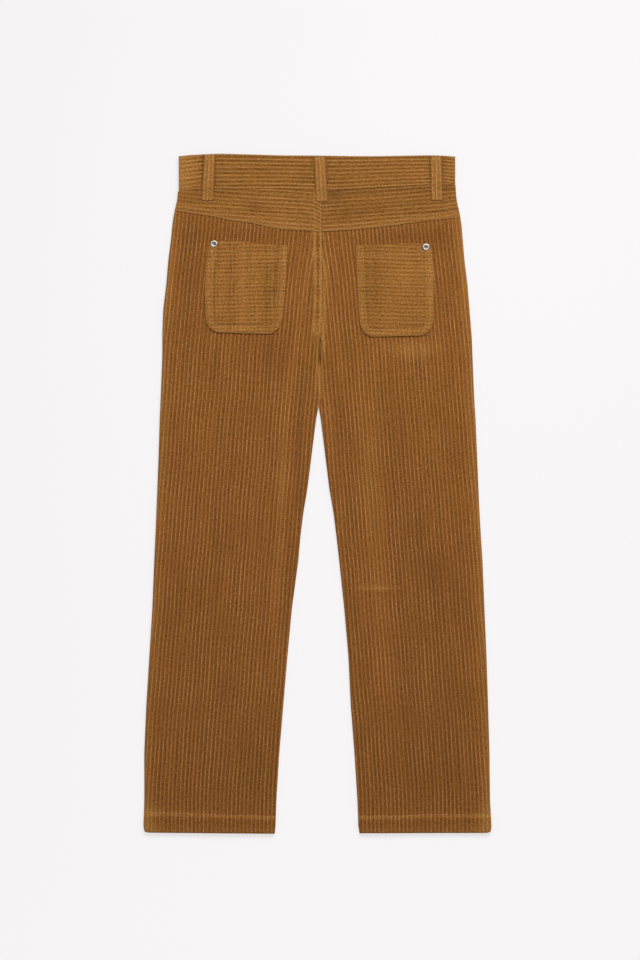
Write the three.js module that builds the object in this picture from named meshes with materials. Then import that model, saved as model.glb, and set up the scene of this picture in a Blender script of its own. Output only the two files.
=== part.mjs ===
// Child's wide-wale corduroy trousers, laid out flat with the back up.
// Millimetres. X runs across, Y up to the waist and Z up off the table; the origin is on the
// table, under the middle of the garment. "down" is measured from the top of the waistband and
// "out" from the centre line, so both legs come from the same sizes. Left is the wearer's left.

import * as THREE from 'three';
import { mergeVertices } from 'three/addons/utils/BufferGeometryUtils.js';

// Driving dimensions of the garment
const LENGTH = 760.8;
const SEAM_GAP = 0.3;
const CROTCH = 281;
const HEM_DEPTH = 20;
const HEM_SLANT = 1.4;
const HEM_WIDTH = 148;

// The cloth: a woven ground with a pile rib, the wale, raised on its face
const GROUND = 1.5;
const WALE_HEIGHT = 0.8;
const WALE_PITCH = 4.48;
const FRONT_WALL = 1.8;
const HEM_FOLD = 1.1;
const EDGE_WALL = 1;
const EDGE_ROUND = 4;

// One rib, as shares of the pitch: a narrow groove and two shoulders on the small pieces, and a
// groove and a crest on the long panels
const WALE_PROFILE = [
  { share: 0, rise: 0 },
  { share: 0.26, rise: 1 },
  { share: 0.74, rise: 1 },
];
const LONG_WALE_PROFILE = [
  { share: 0, rise: 0 },
  { share: 0.5, rise: 1 },
];

// Waistband of doubled cloth, folded round at both sides and closed at the front
const BAND_WALL = 2.8;
const BAND_WALES = 8;
const BAND_EDGE_DIP = 0.9;
const BAND_FOLD_STEPS = 4;
const BAND_LIFT = 1.9;
const LIFT_FROM = 54;
const LIFT_TO = 84;

// Belt loops, three behind and two in front
const LOOP_WIDTH = 13.4;
const LOOP_WALL = 1.8;
const LOOP_WALES = 3;
const LOOP_ARCH = 0.5;
const LOOP_RELIEF = 0.6;
const FRONT_LOOP_OUT = 82;
const FRONT_LOOP_TOP = 3;
const FRONT_LOOP_END = 52;
const FRONT_LOOP_WALL = 1.6;

// Patch pockets
const POCKET_WALL = 1.5;
const POCKET_CORNER = 13;
const POCKET_RIM = 8.5;
const POCKET_RIM_RISE = 0.5;
const POCKET_RELIEF = 0.64;
const POCKET_STATIONS = [0, 0.04, 0.09, 0.115, 0.5, 0.885, 0.91, 0.96, 1];

// Rivets and the front button
const RIVET_RADIUS = 4.1;
const RIVET_HEIGHT = 1.2;
const BUTTON_RADIUS = 8.5;
const BUTTON_HEIGHT = 1.6;
const BUTTON_OUT = 10;
const BUTTON_DOWN = 19;
const ROUND_SIDES = 16;

// Half outline of the garment: side seam, and the inner edges of the back and front panels.
// The back panels part a little above the crotch and show the front panels between them.
const OUTLINE = [
  { down: 0, side: 154.6, back: 0, front: 0 },
  { down: 38.5, side: 155.1, back: 0, front: 0 },
  { down: 65.4, side: 159.6, back: 0, front: 0 },
  { down: 92.3, side: 163, back: 0, front: 0 },
  { down: 146, side: 168.6, back: 0, front: 0 },
  { down: 173, side: 171.4, back: 0, front: 0 },
  { down: 205, side: 173.2, back: 0, front: 0 },
  { down: 215, side: 173.4, back: 1.1, front: 0 },
  { down: 245, side: 174.2, back: 2.3, front: 0 },
  { down: CROTCH, side: 175.3, back: 2.5, front: 1.1 },
  { down: 310, side: 176.7, back: 4.2, front: 4.2 },
  { down: 350, side: 178.7, back: 9.3, front: 9.3 },
  { down: 400, side: 180.9, back: 16.7, front: 16.7 },
  { down: 455, side: 183.7, back: 23, front: 23 },
  { down: 509, side: 185.9, back: 29.3, front: 29.3 },
  { down: 563, side: 188.6, back: 34.2, front: 34.2 },
  { down: 616, side: 191.3, back: 38, front: 38 },
  { down: 680, side: 193.3, back: 42.6, front: 42.6 },
  { down: 738, side: 194.4, back: 46, front: 46 },
  { down: 757, side: 194.9, back: 46.6, front: 46.6 },
  { down: LENGTH, side: 192.9, back: 48, front: 48 },
];

// Waistband: its folded top edge and the seam below it
const BAND = [
  { x: -155, top: 3.2, seam: 41.8 },
  { x: -130, top: 0.9, seam: 40 },
  { x: -110, top: 0, seam: 39.2 },
  { x: -75, top: 0.9, seam: 39.2 },
  { x: -5, top: 2.1, seam: 39.6 },
  { x: 15, top: 2.2, seam: 40.6 },
  { x: 70, top: 2.8, seam: 37.8 },
  { x: 125, top: 2, seam: 35.2 },
  { x: 155, top: 2.8, seam: 35.6 },
];

// What differs between the two sides: the seam under the yoke, the pocket's edges, the belt
// loop's place, the rivet's, and the soft ridges that the leg lies in
const SIDES = [
  {
    name: 'left',
    sign: -1,
    yoke: [
      { out: 0, down: 86.7 },
      { out: 69, down: 76.8 },
      { out: 95, down: 74.2 },
      { out: 137, down: 68.8 },
      { out: 161, down: 64.6 },
    ],
    pocket: [
      { down: 95.6, inner: 33, outer: 120.6 },
      { down: 129, inner: 33.8, outer: 125.6 },
      { down: 160, inner: 36.4, outer: 126.8 },
      { down: 202.4, inner: 39.6, outer: 125.6 },
    ],
    pocketTop: { inner: 101.8, outer: 95.6 },
    pocketBottom: { inner: 202.4, outer: 200.6 },
    loop: { out: 121.2, top: 1.2, end: 52 },
    rivet: { out: 115.6, down: 101 },
    ridges: [
      { out: 44, down: 335, width: 11, length: 65, height: 1.6 },
      { out: 132, down: 330, width: 16, length: 60, height: 0.8 },
    ],
  },
  {
    name: 'right',
    sign: 1,
    yoke: [
      { out: 0, down: 86.7 },
      { out: 60, down: 82.2 },
      { out: 95, down: 77.7 },
      { out: 137, down: 73.2 },
      { out: 161, down: 70.8 },
    ],
    pocket: [
      { down: 99, inner: 41.9, outer: 124 },
      { down: 112, inner: 42.4, outer: 128.9 },
      { down: 143, inner: 43.6, outer: 130.5 },
      { down: 205, inner: 47.6, outer: 130.4 },
    ],
    pocketTop: { inner: 101.8, outer: 99.4 },
    pocketBottom: { inner: 205.2, outer: 203.6 },
    loop: { out: 132.4, top: 2.6, end: 52 },
    rivet: { out: 120.8, down: 104.6 },
    ridges: [
      { out: 62, down: 470, width: 13, length: 130, height: 1.2 },
      { out: 138, down: 480, width: 15, length: 70, height: 0.8 },
    ],
  },
];
const CENTRE_LOOP = { out: 2.4, top: 3, end: 53 };

// Rows across the panels, from the seam under the yoke to the hem
const SEAT_TOP = 75;
const SEAT_FADE = 160;
const PANEL_ROWS = [
  SEAT_TOP, 79, 100, 130, 165, 205, 215, 245, CROTCH,
  310, 400, 500, 620, 738, 742, 757, LENGTH,
];

// The grain: slants of the wales, in millimetres out for each millimetre down, and where along
// the leg and across the seat each one holds
const LEG_GRAIN = 0.088;
const HIP_GRAIN = 0.11;
const SEAT_GRAIN = 0.22;
const HEM_GRAIN = 0.01;
const HIP_ZONE = [200, 260];
const SEAT_ZONE = [185, 275];
const SEAT_WIDTH = [30, 130];
const HEM_ZONE = [620, 705];
const GRAIN_STEP = 5;
const GRAIN_SPAN = [20, 250];
const YOKE_GRAIN = 0.13;

// A rib's point closer than this to an edge is drawn onto it
const SNAP = 0.35;

// Colours
const CORDUROY = 0x85562a;
const CORDUROY_LIGHT = 0x92632f;
const LOOP_BROWN = 0x9b6d38;
const NICKEL = 0xb9b6ae;

const { lerp, smoothstep, clamp } = THREE.MathUtils;
const HALF_GAP = SEAM_GAP / 2;
const HEM_LINE = LENGTH - HEM_DEPTH;
const CLOTH_WALL = GROUND + WALE_HEIGHT;

// Reads one column of a table at a place between its rows
function read(rows, along, column, at) {
  const next = rows.findIndex((row) => row[along] >= at);
  if (next === 0) {
    return rows[0][column];
  }
  if (next < 0) {
    return rows[rows.length - 1][column];
  }
  const before = rows[next - 1];
  const after = rows[next];
  const share = (at - before[along]) / (after[along] - before[along]);
  return lerp(before[column], after[column], share);
}

const sideSeam = (down) => read(OUTLINE, 'down', 'side', down);
const innerEdge = (down, layer) => Math.max(read(OUTLINE, 'down', layer, down), HALF_GAP);
const bandTop = (x) => read(BAND, 'x', 'top', x);
const bandSeam = (x) => read(BAND, 'x', 'seam', x);
const yokeSeam = (side, out) => read(side.yoke, 'out', 'down', out);

// Heights of the layers: the front lies on the table, lifted a little where the front belt loops
// and the button are under it, and the back lies on the front
const lift = (down) => BAND_LIFT * (1 - clamp((down - LIFT_FROM) / (LIFT_TO - LIFT_FROM), 0, 1));
const hemFold = (down) => HEM_FOLD * clamp((down - HEM_LINE + 3) / 4, 0, 1);
const frontTop = (down) => lift(down) + FRONT_WALL + hemFold(down);

function ridge(side, out, down) {
  const heights = side.ridges.map((fold) => {
    const across = (out - fold.out - (down - fold.down) * LEG_GRAIN) / fold.width;
    const along = (down - fold.down) / fold.length;
    return fold.height * Math.exp(-(across ** 2) - along ** 2);
  });
  return heights.reduce((sum, height) => sum + height, 0);
}

const backUnder = (side, out, down) => frontTop(down) + SEAM_GAP + ridge(side, out, down);

// Thickness of ribbed cloth at a distance from its nearest edge, where it rounds down
function clothWall(rise, edgeDistance, full = GROUND + rise * WALE_HEIGHT) {
  const inwards = clamp(edgeDistance / EDGE_ROUND, 0, 1);
  return lerp(EDGE_WALL, full, Math.sqrt(1 - (1 - inwards) ** 2));
}

// Direction of the wales down the leg: with the leg's own slant, square to the hem at the bottom,
// and turned out along the centre-back seam, which is cut across the grain
function grainSlope(down, out) {
  const leg = lerp(HIP_GRAIN, LEG_GRAIN, smoothstep(down, ...HIP_ZONE));
  const nearSeam = 1 - smoothstep(out, ...SEAT_WIDTH);
  const seat = lerp(SEAT_GRAIN, 0, smoothstep(down, ...SEAT_ZONE)) * nearSeam;
  return lerp(leg + seat, HEM_GRAIN, smoothstep(down, ...HEM_ZONE));
}

function grainLine(hemOut) {
  const line = [];
  let out = hemOut;
  for (let down = LENGTH; down > 0; down -= GRAIN_STEP) {
    line.unshift({ down, out });
    out -= grainSlope(down, out) * GRAIN_STEP;
  }
  return line;
}

// A closed sheet between an upper and a lower skin. Each skin is a list of stations, and each
// station a row of points; the two skins meet along all four edges. Points that an edge has
// drawn together are merged, and the faces that collapse are dropped.
function sheetGeometry(upper, lower) {
  const faces = [];
  const quad = (a, b, c, d) => faces.push([a, b, c], [a, c, d]);
  const skin = (rows, place) => {
    for (let i = 1; i < rows.length; i += 1) {
      for (let j = 1; j < rows[i].length; j += 1) {
        place(rows[i - 1][j - 1], rows[i - 1][j], rows[i][j], rows[i][j - 1]);
      }
    }
  };
  skin(upper, quad);
  skin(lower, (a, b, c, d) => quad(d, c, b, a));
  for (let i = 1; i < upper.length; i += 1) {
    quad(upper[i - 1][0], upper[i][0], lower[i][0], lower[i - 1][0]);
    quad(lower[i - 1].at(-1), lower[i].at(-1), upper[i].at(-1), upper[i - 1].at(-1));
  }
  const end = (long, short, turned) => {
    let i = 0;
    let j = 0;
    while (i < long.length - 1 || j < short.length - 1) {
      const longShare = (i + 1) / (long.length - 1);
      const shortShare = (j + 1) / (short.length - 1);
      const face = [long[i], short[j]];
      if (j === short.length - 1 || (i < long.length - 1 && longShare <= shortShare)) {
        i += 1;
        face.push(long[i]);
      } else {
        j += 1;
        face.push(short[j]);
      }
      faces.push(turned ? face.reverse() : face);
    }
  };
  end(upper[0], lower[0], false);
  end(upper.at(-1), lower.at(-1), true);
  const soup = new THREE.BufferGeometry();
  const points = faces.flat().flatMap((point) => point.toArray());
  soup.setAttribute('position', new THREE.Float32BufferAttribute(points, 3));
  return closedGeometry(mergeVertices(soup, 1e-3));
}

// Drops collapsed faces, and turns the faces outwards where the sheet was made mirrored
function closedGeometry(geometry) {
  const places = geometry.getAttribute('position');
  const corner = (index) => new THREE.Vector3().fromBufferAttribute(places, index);
  const kept = [];
  let volume = 0;
  for (let i = 0; i < geometry.index.count; i += 3) {
    const [a, b, c] = [0, 1, 2].map((step) => geometry.index.getX(i + step));
    if (a !== b && b !== c && c !== a) {
      kept.push([a, b, c]);
      volume += corner(a).dot(corner(b).cross(corner(c)));
    }
  }
  const outward = volume > 0 ? kept : kept.map(([a, b, c]) => [a, c, b]);
  geometry.setIndex(outward.flat());
  geometry.computeVertexNormals();
  return geometry;
}

const garment = new THREE.Group();

function addPiece(name, geometry, color, metalness = 0, roughness = 0.95) {
  const material = new THREE.MeshStandardMaterial({ color, metalness, roughness });
  const mesh = new THREE.Mesh(geometry, material);
  mesh.name = name;
  garment.add(mesh);
  return mesh;
}

const place = (side, out, down, z) => new THREE.Vector3(side.sign * out, LENGTH / 2 - down, z);

// Ribs across a width: positions in millimetres with the height share of each
function ribs(from, to, profile = WALE_PROFILE) {
  const list = [];
  for (let start = from; start < to; start += WALE_PITCH) {
    profile.forEach(({ share, rise }) => list.push({ at: start + share * WALE_PITCH, rise }));
  }
  return list;
}

// A plain underside needs only the points of every second rib, and the two edges
const everySecondRib = (row, profile = WALE_PROFILE) => (
  row.filter((point, index) => index % (profile.length * 2) === 0 || index === row.length - 1));

// Rows of a panel keep the slant of the hem at the bottom, and a back panel's rows that of the
// yoke seam at the top
function hemRow(nominal, out) {
  const across = clamp((out - innerEdge(LENGTH, 'back')) / HEM_WIDTH, 0, 1);
  return nominal - HEM_SLANT * across * smoothstep(nominal, 680, 740);
}

function seatRow(side, nominal, out) {
  const seat = yokeSeam(side, out) + HALF_GAP - SEAT_TOP;
  return hemRow(nominal, out) + seat * (1 - smoothstep(nominal, SEAT_TOP, SEAT_FADE));
}

// Back panel: one leg's back from the yoke to the hem, ribbed along the grain
function backPanel(side) {
  const lines = ribs(...GRAIN_SPAN, LONG_WALE_PROFILE)
    .map(({ at, rise }) => ({ line: grainLine(at), rise }));
  const upper = [];
  const lower = [];
  PANEL_ROWS.forEach((nominal, row) => {
    const settle = (edge) => {
      let out = edge(nominal);
      out = edge(seatRow(side, nominal, out));
      return { out, down: seatRow(side, nominal, out) };
    };
    const inner = settle((down) => innerEdge(down, 'back'));
    const outer = settle(sideSeam);
    const atEnd = row === 0 || row === PANEL_ROWS.length - 1;
    const points = lines.map(({ line, rise }) => {
      let out = clamp(read(line, 'down', 'out', nominal), 0, outer.out);
      out = read(line, 'down', 'out', seatRow(side, nominal, out));
      if (out < inner.out + SNAP) {
        return { ...inner, wall: EDGE_WALL };
      }
      if (out > outer.out - SNAP) {
        return { ...outer, wall: EDGE_WALL };
      }
      const down = seatRow(side, nominal, out);
      const distance = atEnd ? 0 : Math.min(out - inner.out, outer.out - out);
      return { out, down, wall: clothWall(rise, distance) + hemFold(down) * (atEnd ? 0 : 1) };
    });
    const all = [{ ...inner, wall: EDGE_WALL }, ...points, { ...outer, wall: EDGE_WALL }];
    const under = ({ out, down }) => backUnder(side, out, down);
    upper.push(all.map((p) => place(side, p.out, p.down, under(p) + p.wall)));
    lower.push(everySecondRib(all, LONG_WALE_PROFILE)
      .map((p) => place(side, p.out, p.down, under(p))));
  });
  addPiece(`back_${side.name}`, sheetGeometry(upper, lower), CORDUROY);
}

// Shares of the half width at which the waistband's seam turns
const bandPlaces = ({ sign }) => BAND.filter(({ x }) => x * sign > 0)
  .map(({ x }) => Math.abs(x) / sideSeam(bandSeam(x)))
  .filter((share) => share < 0.99)
  .sort((a, b) => a - b);

// Front panel: lies on the table, plain, from the waistband to the hem
function frontPanel(side) {
  const rows = [0, LIFT_FROM, ...PANEL_ROWS.filter((down) => down >= LIFT_TO), LIFT_TO];
  const upper = [];
  const lower = [];
  rows.sort((a, b) => a - b).forEach((nominal) => {
    const points = [0, ...bandPlaces(side), 1].map((share) => {
      const out = lerp(innerEdge(nominal, 'front'), sideSeam(nominal), share);
      const belowBand = bandSeam(side.sign * out) + HALF_GAP;
      return { out, down: Math.max(hemRow(nominal, out), belowBand) };
    });
    upper.push(points.map(({ out, down }) => place(side, out, down, frontTop(down))));
    lower.push(points.map(({ out, down }) => place(side, out, down, lift(down))));
  });
  addPiece(`front_${side.name}`, sheetGeometry(upper, lower), CORDUROY);
}

// Yoke: half of the shaped strip between the waistband and the back panel, ribbed along itself
function yoke(side) {
  const upper = [];
  const lower = [];
  const lines = ribs(-20, 84);
  const seamPlaces = side.yoke.map(({ out, down }) => out / sideSeam(down));
  const shares = [...bandPlaces(side), ...seamPlaces.filter((share) => share < 1), 0.98, 1];
  shares.sort((a, b) => a - b).forEach((share) => {
    const outAt = (down) => Math.max(share * sideSeam(down), HALF_GAP);
    const middle = outAt(60);
    const top = bandSeam(side.sign * middle) + HALF_GAP;
    const bottom = yokeSeam(side, middle) - HALF_GAP;
    const atEnd = share === 0 || share === 1;
    const points = lines.map(({ at, rise }) => {
      const line = at + YOKE_GRAIN * (sideSeam(60) - middle);
      const down = clamp(line, top, bottom);
      const clear = Math.abs(line - down) < 1e-6 ? Math.min(down - top, bottom - down) : 0;
      const snapped = clear > SNAP ? down : (down - top < bottom - down ? top : bottom);
      return { down: snapped, wall: clothWall(rise, atEnd || clear <= SNAP ? 0 : clear * 2) };
    });
    const ends = [{ down: top, wall: EDGE_WALL }, { down: bottom, wall: EDGE_WALL }];
    const all = [ends[0], ...points, ends[1]];
    const under = (down) => frontTop(down) + SEAM_GAP;
    upper.push(all.map((p) => place(side, outAt(p.down), p.down, under(p.down) + p.wall)));
    lower.push(everySecondRib(all)
      .map((p) => place(side, outAt(p.down), p.down, under(p.down))));
  });
  addPiece(`yoke_${side.name}`, sheetGeometry(upper, lower), CORDUROY_LIGHT);
}

// Waistband: one doubled strip, from the front closure round both sides
function waistband() {
  const middle = BAND_LIFT + BAND_WALL + HALF_GAP;
  const outerReach = BAND_WALL + HALF_GAP;
  const foldX = sideSeam(0) - outerReach;
  const stations = [];
  const run = (xs, up) => xs.forEach((x) => stations.push({ x, turn: up * Math.PI / 2 }));
  const fold = (sign, from) => {
    for (let step = 1; step < BAND_FOLD_STEPS; step += 1) {
      const turn = from * lerp(-1, 1, step / BAND_FOLD_STEPS) * Math.PI / 2;
      stations.push({ x: sign * foldX, turn, side: sign });
    }
  };
  const inner = BAND.map(({ x }) => x).filter((x) => Math.abs(x) < foldX);
  const back = [-foldX, ...inner, foldX];
  const rightToLeft = back.toReversed();
  run([-HALF_GAP, ...rightToLeft.filter((x) => x < 0)], -1);
  fold(-1, 1);
  run(back, 1);
  fold(1, -1);
  run([...rightToLeft.filter((x) => x > 0), HALF_GAP], -1);
  const sections = stations.map(({ x, turn, side = 0 }) => {
    const across = side * Math.cos(turn);
    const upwards = Math.sin(turn);
    const relief = Math.max(upwards, 0);
    const point = (reach, share) => {
      const at = x + across * reach;
      const down = lerp(bandTop(at), bandSeam(at) - HALF_GAP, share);
      return new THREE.Vector3(at, LENGTH / 2 - down, middle + upwards * reach);
    };
    const outer = [point(outerReach - BAND_EDGE_DIP, 0)];
    for (let wale = 0; wale < BAND_WALES; wale += 1) {
      WALE_PROFILE.forEach(({ share, rise }) => {
        const dip = (1 - rise) * WALE_HEIGHT * relief;
        outer.push(point(outerReach - dip, (wale + 0.08 + share * 0.9) / BAND_WALES));
      });
    }
    outer.push(point(outerReach - BAND_EDGE_DIP, 1));
    return { outer, inner: [point(HALF_GAP, 0), point(HALF_GAP, 1)] };
  });
  const skins = [sections.map(({ outer }) => outer), sections.map(({ inner }) => inner)];
  addPiece('waistband', sheetGeometry(...skins), CORDUROY_LIGHT);
}

// Patch pocket: ribs across it, round lower corners and a raised rim where its edges turn under
function pocket(side) {
  const edge = (name, down) => read(side.pocket, 'down', name, down);
  const upper = [];
  const lower = [];
  const lines = ribs(90, 210);
  POCKET_STATIONS.forEach((share, station, all) => {
    const outAt = (down) => lerp(edge('inner', down), edge('outer', down), share);
    const top = lerp(side.pocketTop.inner, side.pocketTop.outer, share);
    const bottomLine = lerp(side.pocketBottom.inner, side.pocketBottom.outer, share);
    const fromSide = Math.min(share, 1 - share) * (edge('outer', 150) - edge('inner', 150));
    const inCorner = clamp(1 - fromSide / POCKET_CORNER, 0, 1);
    const bottom = bottomLine - POCKET_CORNER * (1 - Math.sqrt(1 - inCorner ** 2));
    const atEnd = station === 0 || station === all.length - 1;
    const points = lines.map(({ at, rise }) => {
      const down = clamp(at, top, bottom);
      const clear = Math.abs(at - down) < 1e-6 ? Math.min(down - top, bottom - down) : 0;
      const snapped = clear > SNAP ? down : (down - top < bottom - down ? top : bottom);
      const onRim = Math.min(fromSide, bottom - down) < POCKET_RIM ? POCKET_RIM_RISE : 0;
      const full = POCKET_WALL + rise * POCKET_RELIEF + onRim;
      return { down: snapped, wall: clothWall(rise, atEnd || clear <= SNAP ? 0 : clear * 2, full) };
    });
    const rows = [{ down: top, wall: EDGE_WALL }, ...points, { down: bottom, wall: EDGE_WALL }];
    const under = (p) => backUnder(side, outAt(p.down), p.down) + CLOTH_WALL + SEAM_GAP;
    upper.push(rows.map((p) => place(side, outAt(p.down), p.down, under(p) + p.wall)));
    lower.push(everySecondRib(rows)
      .map((p) => place(side, outAt(p.down), p.down, under(p))));
  });
  addPiece(`pocket_${side.name}`, sheetGeometry(upper, lower), CORDUROY_LIGHT);
}

// Belt loop on the back: three ribs along it, bridging the waistband down onto the yoke
function backLoop(name, sign, { out, top, end }) {
  const side = { sign };
  const overBand = BAND_LIFT + 2 * (BAND_WALL + HALF_GAP) + SEAM_GAP;
  const overYoke = (down) => frontTop(down) + SEAM_GAP + CLOTH_WALL + SEAM_GAP;
  const seam = bandSeam(sign * out);
  const rows = [
    { down: top, z: overBand },
    { down: top + 5, z: overBand + LOOP_ARCH },
    { down: seam - 5, z: overBand + LOOP_ARCH },
    { down: seam + 1, z: overBand },
    { down: seam + 6, z: overYoke(seam + 6) },
    { down: end, z: overYoke(end) },
  ];
  const pitch = LOOP_WIDTH / LOOP_WALES;
  const across = [{ at: 0, rise: 0 }];
  for (let wale = 0; wale < LOOP_WALES; wale += 1) {
    WALE_PROFILE.forEach(({ share, rise }) => {
      across.push({ at: (wale + 0.1 + share * 0.9) * pitch, rise });
    });
  }
  across.push({ at: LOOP_WIDTH, rise: 0 });
  const left = out - LOOP_WIDTH / 2;
  const relief = WALE_HEIGHT * LOOP_RELIEF;
  const upper = rows.map(({ down, z }) => across.map(({ at, rise }) => (
    place(side, left + at, down, z + LOOP_WALL - relief * (1 - rise)))));
  const lower = rows.map(({ down, z }) => [0, LOOP_WIDTH].map((at) => (
    place(side, left + at, down, z))));
  addPiece(name, sheetGeometry(upper, lower), LOOP_BROWN);
}

// Belt loop on the front, plain, under the waistband and the front panel
function frontLoop(side) {
  const left = FRONT_LOOP_OUT - LOOP_WIDTH / 2;
  const strip = (z) => [FRONT_LOOP_TOP, FRONT_LOOP_END].map((down) => (
    [left, left + LOOP_WIDTH].map((out) => place(side, out, down, z))));
  const geometry = sheetGeometry(strip(FRONT_LOOP_WALL), strip(0));
  addPiece(`front_loop_${side.name}`, geometry, LOOP_BROWN);
}

// Metal parts are turned: a profile of radius and height about their own axis
function turned(name, profile, x, y, z, color) {
  const points = profile.map(([radius, height]) => new THREE.Vector2(radius, height));
  const geometry = new THREE.LatheGeometry(points, ROUND_SIDES);
  geometry.rotateX(Math.PI / 2);
  geometry.deleteAttribute('normal');
  geometry.deleteAttribute('uv');
  addPiece(name, closedGeometry(mergeVertices(geometry, 1e-3)), color, 1, 0.35)
    .position.set(x, y, z);
}

function rivet(side) {
  const { out, down } = side.rivet;
  const clothUnder = CLOTH_WALL + POCKET_WALL + POCKET_RELIEF + POCKET_RIM_RISE;
  const z = backUnder(side, out, down) + SEAM_GAP + clothUnder + SEAM_GAP;
  const profile = [
    [0, 0],
    [RIVET_RADIUS, 0],
    [RIVET_RADIUS, RIVET_HEIGHT * 0.4],
    [RIVET_RADIUS * 0.8, RIVET_HEIGHT],
    [RIVET_RADIUS * 0.5, RIVET_HEIGHT],
    [RIVET_RADIUS * 0.4, RIVET_HEIGHT * 0.7],
    [0, RIVET_HEIGHT * 0.8],
  ];
  turned(`rivet_${side.name}`, profile, side.sign * out, LENGTH / 2 - down, z, NICKEL);
}

function frontButton() {
  const profile = [
    [0, 0],
    [BUTTON_RADIUS - 1, 0],
    [BUTTON_RADIUS, BUTTON_HEIGHT / 2],
    [BUTTON_RADIUS - 1, BUTTON_HEIGHT],
    [0, BUTTON_HEIGHT],
  ];
  turned('front_button', profile, BUTTON_OUT, LENGTH / 2 - BUTTON_DOWN, 0, NICKEL);
}

SIDES.forEach((side) => {
  frontPanel(side);
  backPanel(side);
  yoke(side);
  pocket(side);
  rivet(side);
  frontLoop(side);
  backLoop(`back_loop_${side.name}`, side.sign, side.loop);
});
backLoop('back_loop_centre', 1, CENTRE_LOOP);
waistband();
frontButton();

export default garment;
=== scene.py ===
# Child's wide-wale corduroy trousers, laid out flat with the back up, seen from straight above.
# Sizes are in millimetres until a mesh is made. "down" is measured from the top of the waistband
# and "out" from the centre line to either side; left is the wearer's left.

import math

import bmesh
import bpy
import numpy as np
from mathutils import Matrix, Vector


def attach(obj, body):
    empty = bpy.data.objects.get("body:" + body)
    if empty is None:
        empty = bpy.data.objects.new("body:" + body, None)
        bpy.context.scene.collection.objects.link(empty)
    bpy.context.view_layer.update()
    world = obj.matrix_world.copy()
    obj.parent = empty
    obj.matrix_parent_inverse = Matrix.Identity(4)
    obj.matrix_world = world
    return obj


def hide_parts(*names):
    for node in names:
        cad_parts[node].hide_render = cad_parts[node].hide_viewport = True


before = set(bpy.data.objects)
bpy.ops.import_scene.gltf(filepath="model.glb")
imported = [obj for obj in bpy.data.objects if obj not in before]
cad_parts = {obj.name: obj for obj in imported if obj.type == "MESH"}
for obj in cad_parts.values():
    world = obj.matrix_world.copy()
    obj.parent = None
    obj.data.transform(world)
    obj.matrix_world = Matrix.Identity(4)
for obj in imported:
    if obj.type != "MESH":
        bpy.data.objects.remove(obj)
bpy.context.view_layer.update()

# Floor, light and camera: a pale sheet that also glows a little, as a lit table does, one large
# soft light over the waist end, an even fill, and a long lens looking straight down.

MM = 0.001
LENGTH = 760.8


def linear(hex_colour):
    """An sRGB hex colour as linear red, green, blue and alpha."""
    values = [int(hex_colour[i:i + 2], 16) / 255 for i in (1, 3, 5)]
    light = [v / 12.92 if v <= 0.04045 else ((v + 0.055) / 1.055) ** 2.4 for v in values]
    return (*light, 1.0)


def add_node(tree, kind, inputs=(), **settings):
    """A node with its settings, its constant inputs and its links."""
    node = tree.nodes.new(kind)
    for name, value in settings.items():
        setattr(node, name, value)
    for socket, value in dict(inputs).items():
        if isinstance(value, bpy.types.NodeSocket):
            tree.links.new(value, node.inputs[socket])
        else:
            node.inputs[socket].default_value = value
    return node


def new_material(name):
    material = bpy.data.materials.new(name)
    material.use_nodes = True
    tree = material.node_tree
    shader = tree.nodes["Principled BSDF"]
    return material, tree, shader


def finished_mesh(name, shape):
    """A mesh made from a bmesh, which is freed."""
    data = bpy.data.meshes.new(name)
    shape.to_mesh(data)
    shape.free()
    return data


def add_object(name, data):
    piece = bpy.data.objects.new(name, data)
    bpy.context.collection.objects.link(piece)
    return piece


floor_grid = bmesh.new()
bmesh.ops.create_grid(floor_grid, x_segments=2, y_segments=2, size=8.0)
floor = add_object("floor", finished_mesh("floor", floor_grid))
floor.location.z = -0.0004
paper, paper_tree, paper_shader = new_material("matt backdrop paper")
paper_shader.inputs["Base Color"].default_value = linear("#a09fa0")
paper_shader.inputs["Roughness"].default_value = 0.95
paper_shader.inputs["Emission Strength"].default_value = 1.0
# The glow makes up for the softbox, which is over the waist end, so the sheet is one even white
along_floor = add_node(
    paper_tree, "ShaderNodeSeparateXYZ",
    {"Vector": add_node(paper_tree, "ShaderNodeTexCoord").outputs["Object"]},
)
glow = add_node(
    paper_tree, "ShaderNodeMapRange",
    {"Value": along_floor.outputs["Y"], "From Min": -0.5, "From Max": 0.53,
     "To Min": 0.690, "To Max": 0.552},
)
glow_colour = add_node(
    paper_tree, "ShaderNodeVectorMath", {0: linear("#fbf9fa")[:3], "Scale": glow.outputs[0]},
    operation="SCALE",
)
paper_tree.links.new(glow_colour.outputs[0], paper_shader.inputs["Emission Color"])
floor.data.materials.append(paper)

softbox = bpy.data.lights.new("softbox", "AREA")
softbox.shape = "RECTANGLE"
softbox.size = 1.1
softbox.size_y = 0.8
softbox.energy = 21.5
softbox_object = bpy.data.objects.new("softbox", softbox)
softbox_object.location = (0.25, 0.95, 1.45)
softbox_object.rotation_euler = (math.radians(-33), math.radians(9), 0)
bpy.context.collection.objects.link(softbox_object)

world = bpy.data.worlds.new("studio fill")
bpy.context.scene.world = world
world.use_nodes = True
world.node_tree.nodes["Background"].inputs["Color"].default_value = linear("#ffffff")
world.node_tree.nodes["Background"].inputs["Strength"].default_value = 0.40

CAMERA_HEIGHT = 4.0
VIEW_HEIGHT = 1.0752
SENSOR = 36.0
camera_data = bpy.data.cameras.new("camera")
camera_data.sensor_fit = "VERTICAL"
camera_data.sensor_height = SENSOR
camera_data.lens = SENSOR * CAMERA_HEIGHT / VIEW_HEIGHT
camera_data.clip_end = 20
camera = bpy.data.objects.new("camera", camera_data)
camera.location = (0.0029, 0.0155, CAMERA_HEIGHT)
bpy.context.collection.objects.link(camera)
bpy.context.scene.camera = camera
bpy.context.scene.view_settings.view_transform = "Standard"

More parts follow.
